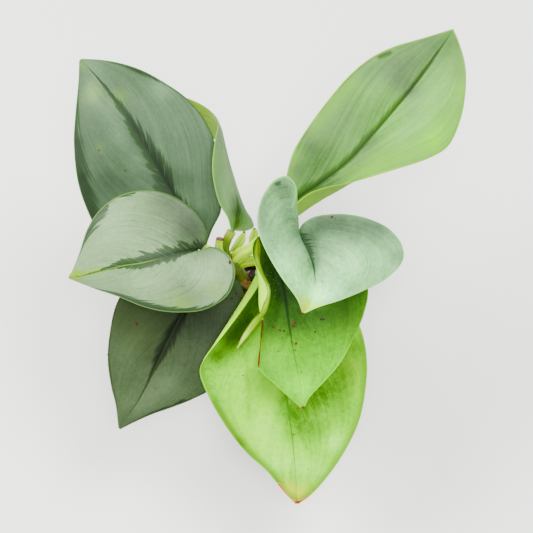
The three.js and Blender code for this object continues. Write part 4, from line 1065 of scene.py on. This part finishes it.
pot_paint = rough_material("pot_plastic", (44, 44, 43), (30, 30, 29), 260, roughness=0.5, bump=0.00005)
give(make_pot(), pot_paint, "pot", "pot")
soil_paint = rough_material("mix", (74, 50, 34), (30, 20, 13), 700, bump=0.0008)
give(make_soil(), soil_paint, "potting_mix", "potting_mix")
bark_paint = rough_material("bark", (104, 66, 40), (46, 28, 16), 500)
give(lump_mesh("bark_crumbs", scattered(380, 0.5, 1.7, 0.6)), bark_paint, "potting_mix")
perlite_paint = rough_material("perlite", (226, 222, 212), (180, 174, 160), 900)
give(lump_mesh("perlite_grains", scattered(40, 0.4, 1.1, 0.9)), perlite_paint, "potting_mix")
CRUMB_PAINTS = {
    "leaf_crumbs": rough_material("red_crumb", (96, 40, 20), (54, 22, 12), 1500),
    "dark_crumbs": rough_material("black_crumb", (46, 34, 28), (20, 15, 12), 1500),
    "white_dust": perlite_paint,
}
for name, groups in CRUMBS.items():
    spots = [on_leaf(key, *crumb) for key, crumbs in groups.items() for crumb in crumbs]
    give(lump_mesh(name, spots), CRUMB_PAINTS[name], "potting_mix")

# Floor, light and camera
FLOOR_REACH = 3
floor_mesh = bpy.data.meshes.new("floor")
corners = [(x * FLOOR_REACH, y * FLOOR_REACH, 0) for x, y in ((-1, -1), (1, -1), (1, 1), (-1, 1))]
floor_mesh.from_pydata(corners, [], [[0, 1, 2, 3]])
floor = linked("floor", floor_mesh)
floor_paint = Paint("floor", 0.9, 0.1)
floor_paint.colour(screen((244, 244, 243)))
floor_mesh.materials.append(floor_paint.material)


def area_light(name, place_at, size, power, tint=(1, 1, 1)):
    light = bpy.data.lights.new(name, "AREA")
    light.shape = "DISK"
    light.size = size
    light.energy = power
    light.color = tint
    lamp = linked(name, light)
    lamp.location = place_at
    aim = Vector((0, 0, 0.1)) - lamp.location
    lamp.rotation_euler = aim.to_track_quat("-Z", "Y").to_euler()


area_light("key", (0.45, 0.25, 1.25), 0.6, 22, (1, 0.99, 0.97))
area_light("side", (-0.8, 0.15, 0.9), 0.6, 24, (1, 1, 0.98))
area_light("fill", (0.05, -0.42, 1.25), 0.4, 16)
world = bpy.data.worlds.new("studio")
bpy.context.scene.world = world
world.use_nodes = True
world.node_tree.nodes["Background"].inputs["Color"].default_value = (1, 1, 0.98, 1)
world.node_tree.nodes["Background"].inputs["Strength"].default_value = 0.6

camera_data = bpy.data.cameras.new("camera")
camera_data.lens = 100
camera_data.sensor_width = 36
camera = linked("camera", camera_data)
target = Vector(PLATE_CENTRE.tolist()) * MM
camera.location = target + Vector(PLATE_NEAR.tolist()) * EYE_DISTANCE * MM
camera.rotation_euler = (camera.location - target).to_track_quat("Z", "Y").to_euler()
bpy.context.scene.camera = camera
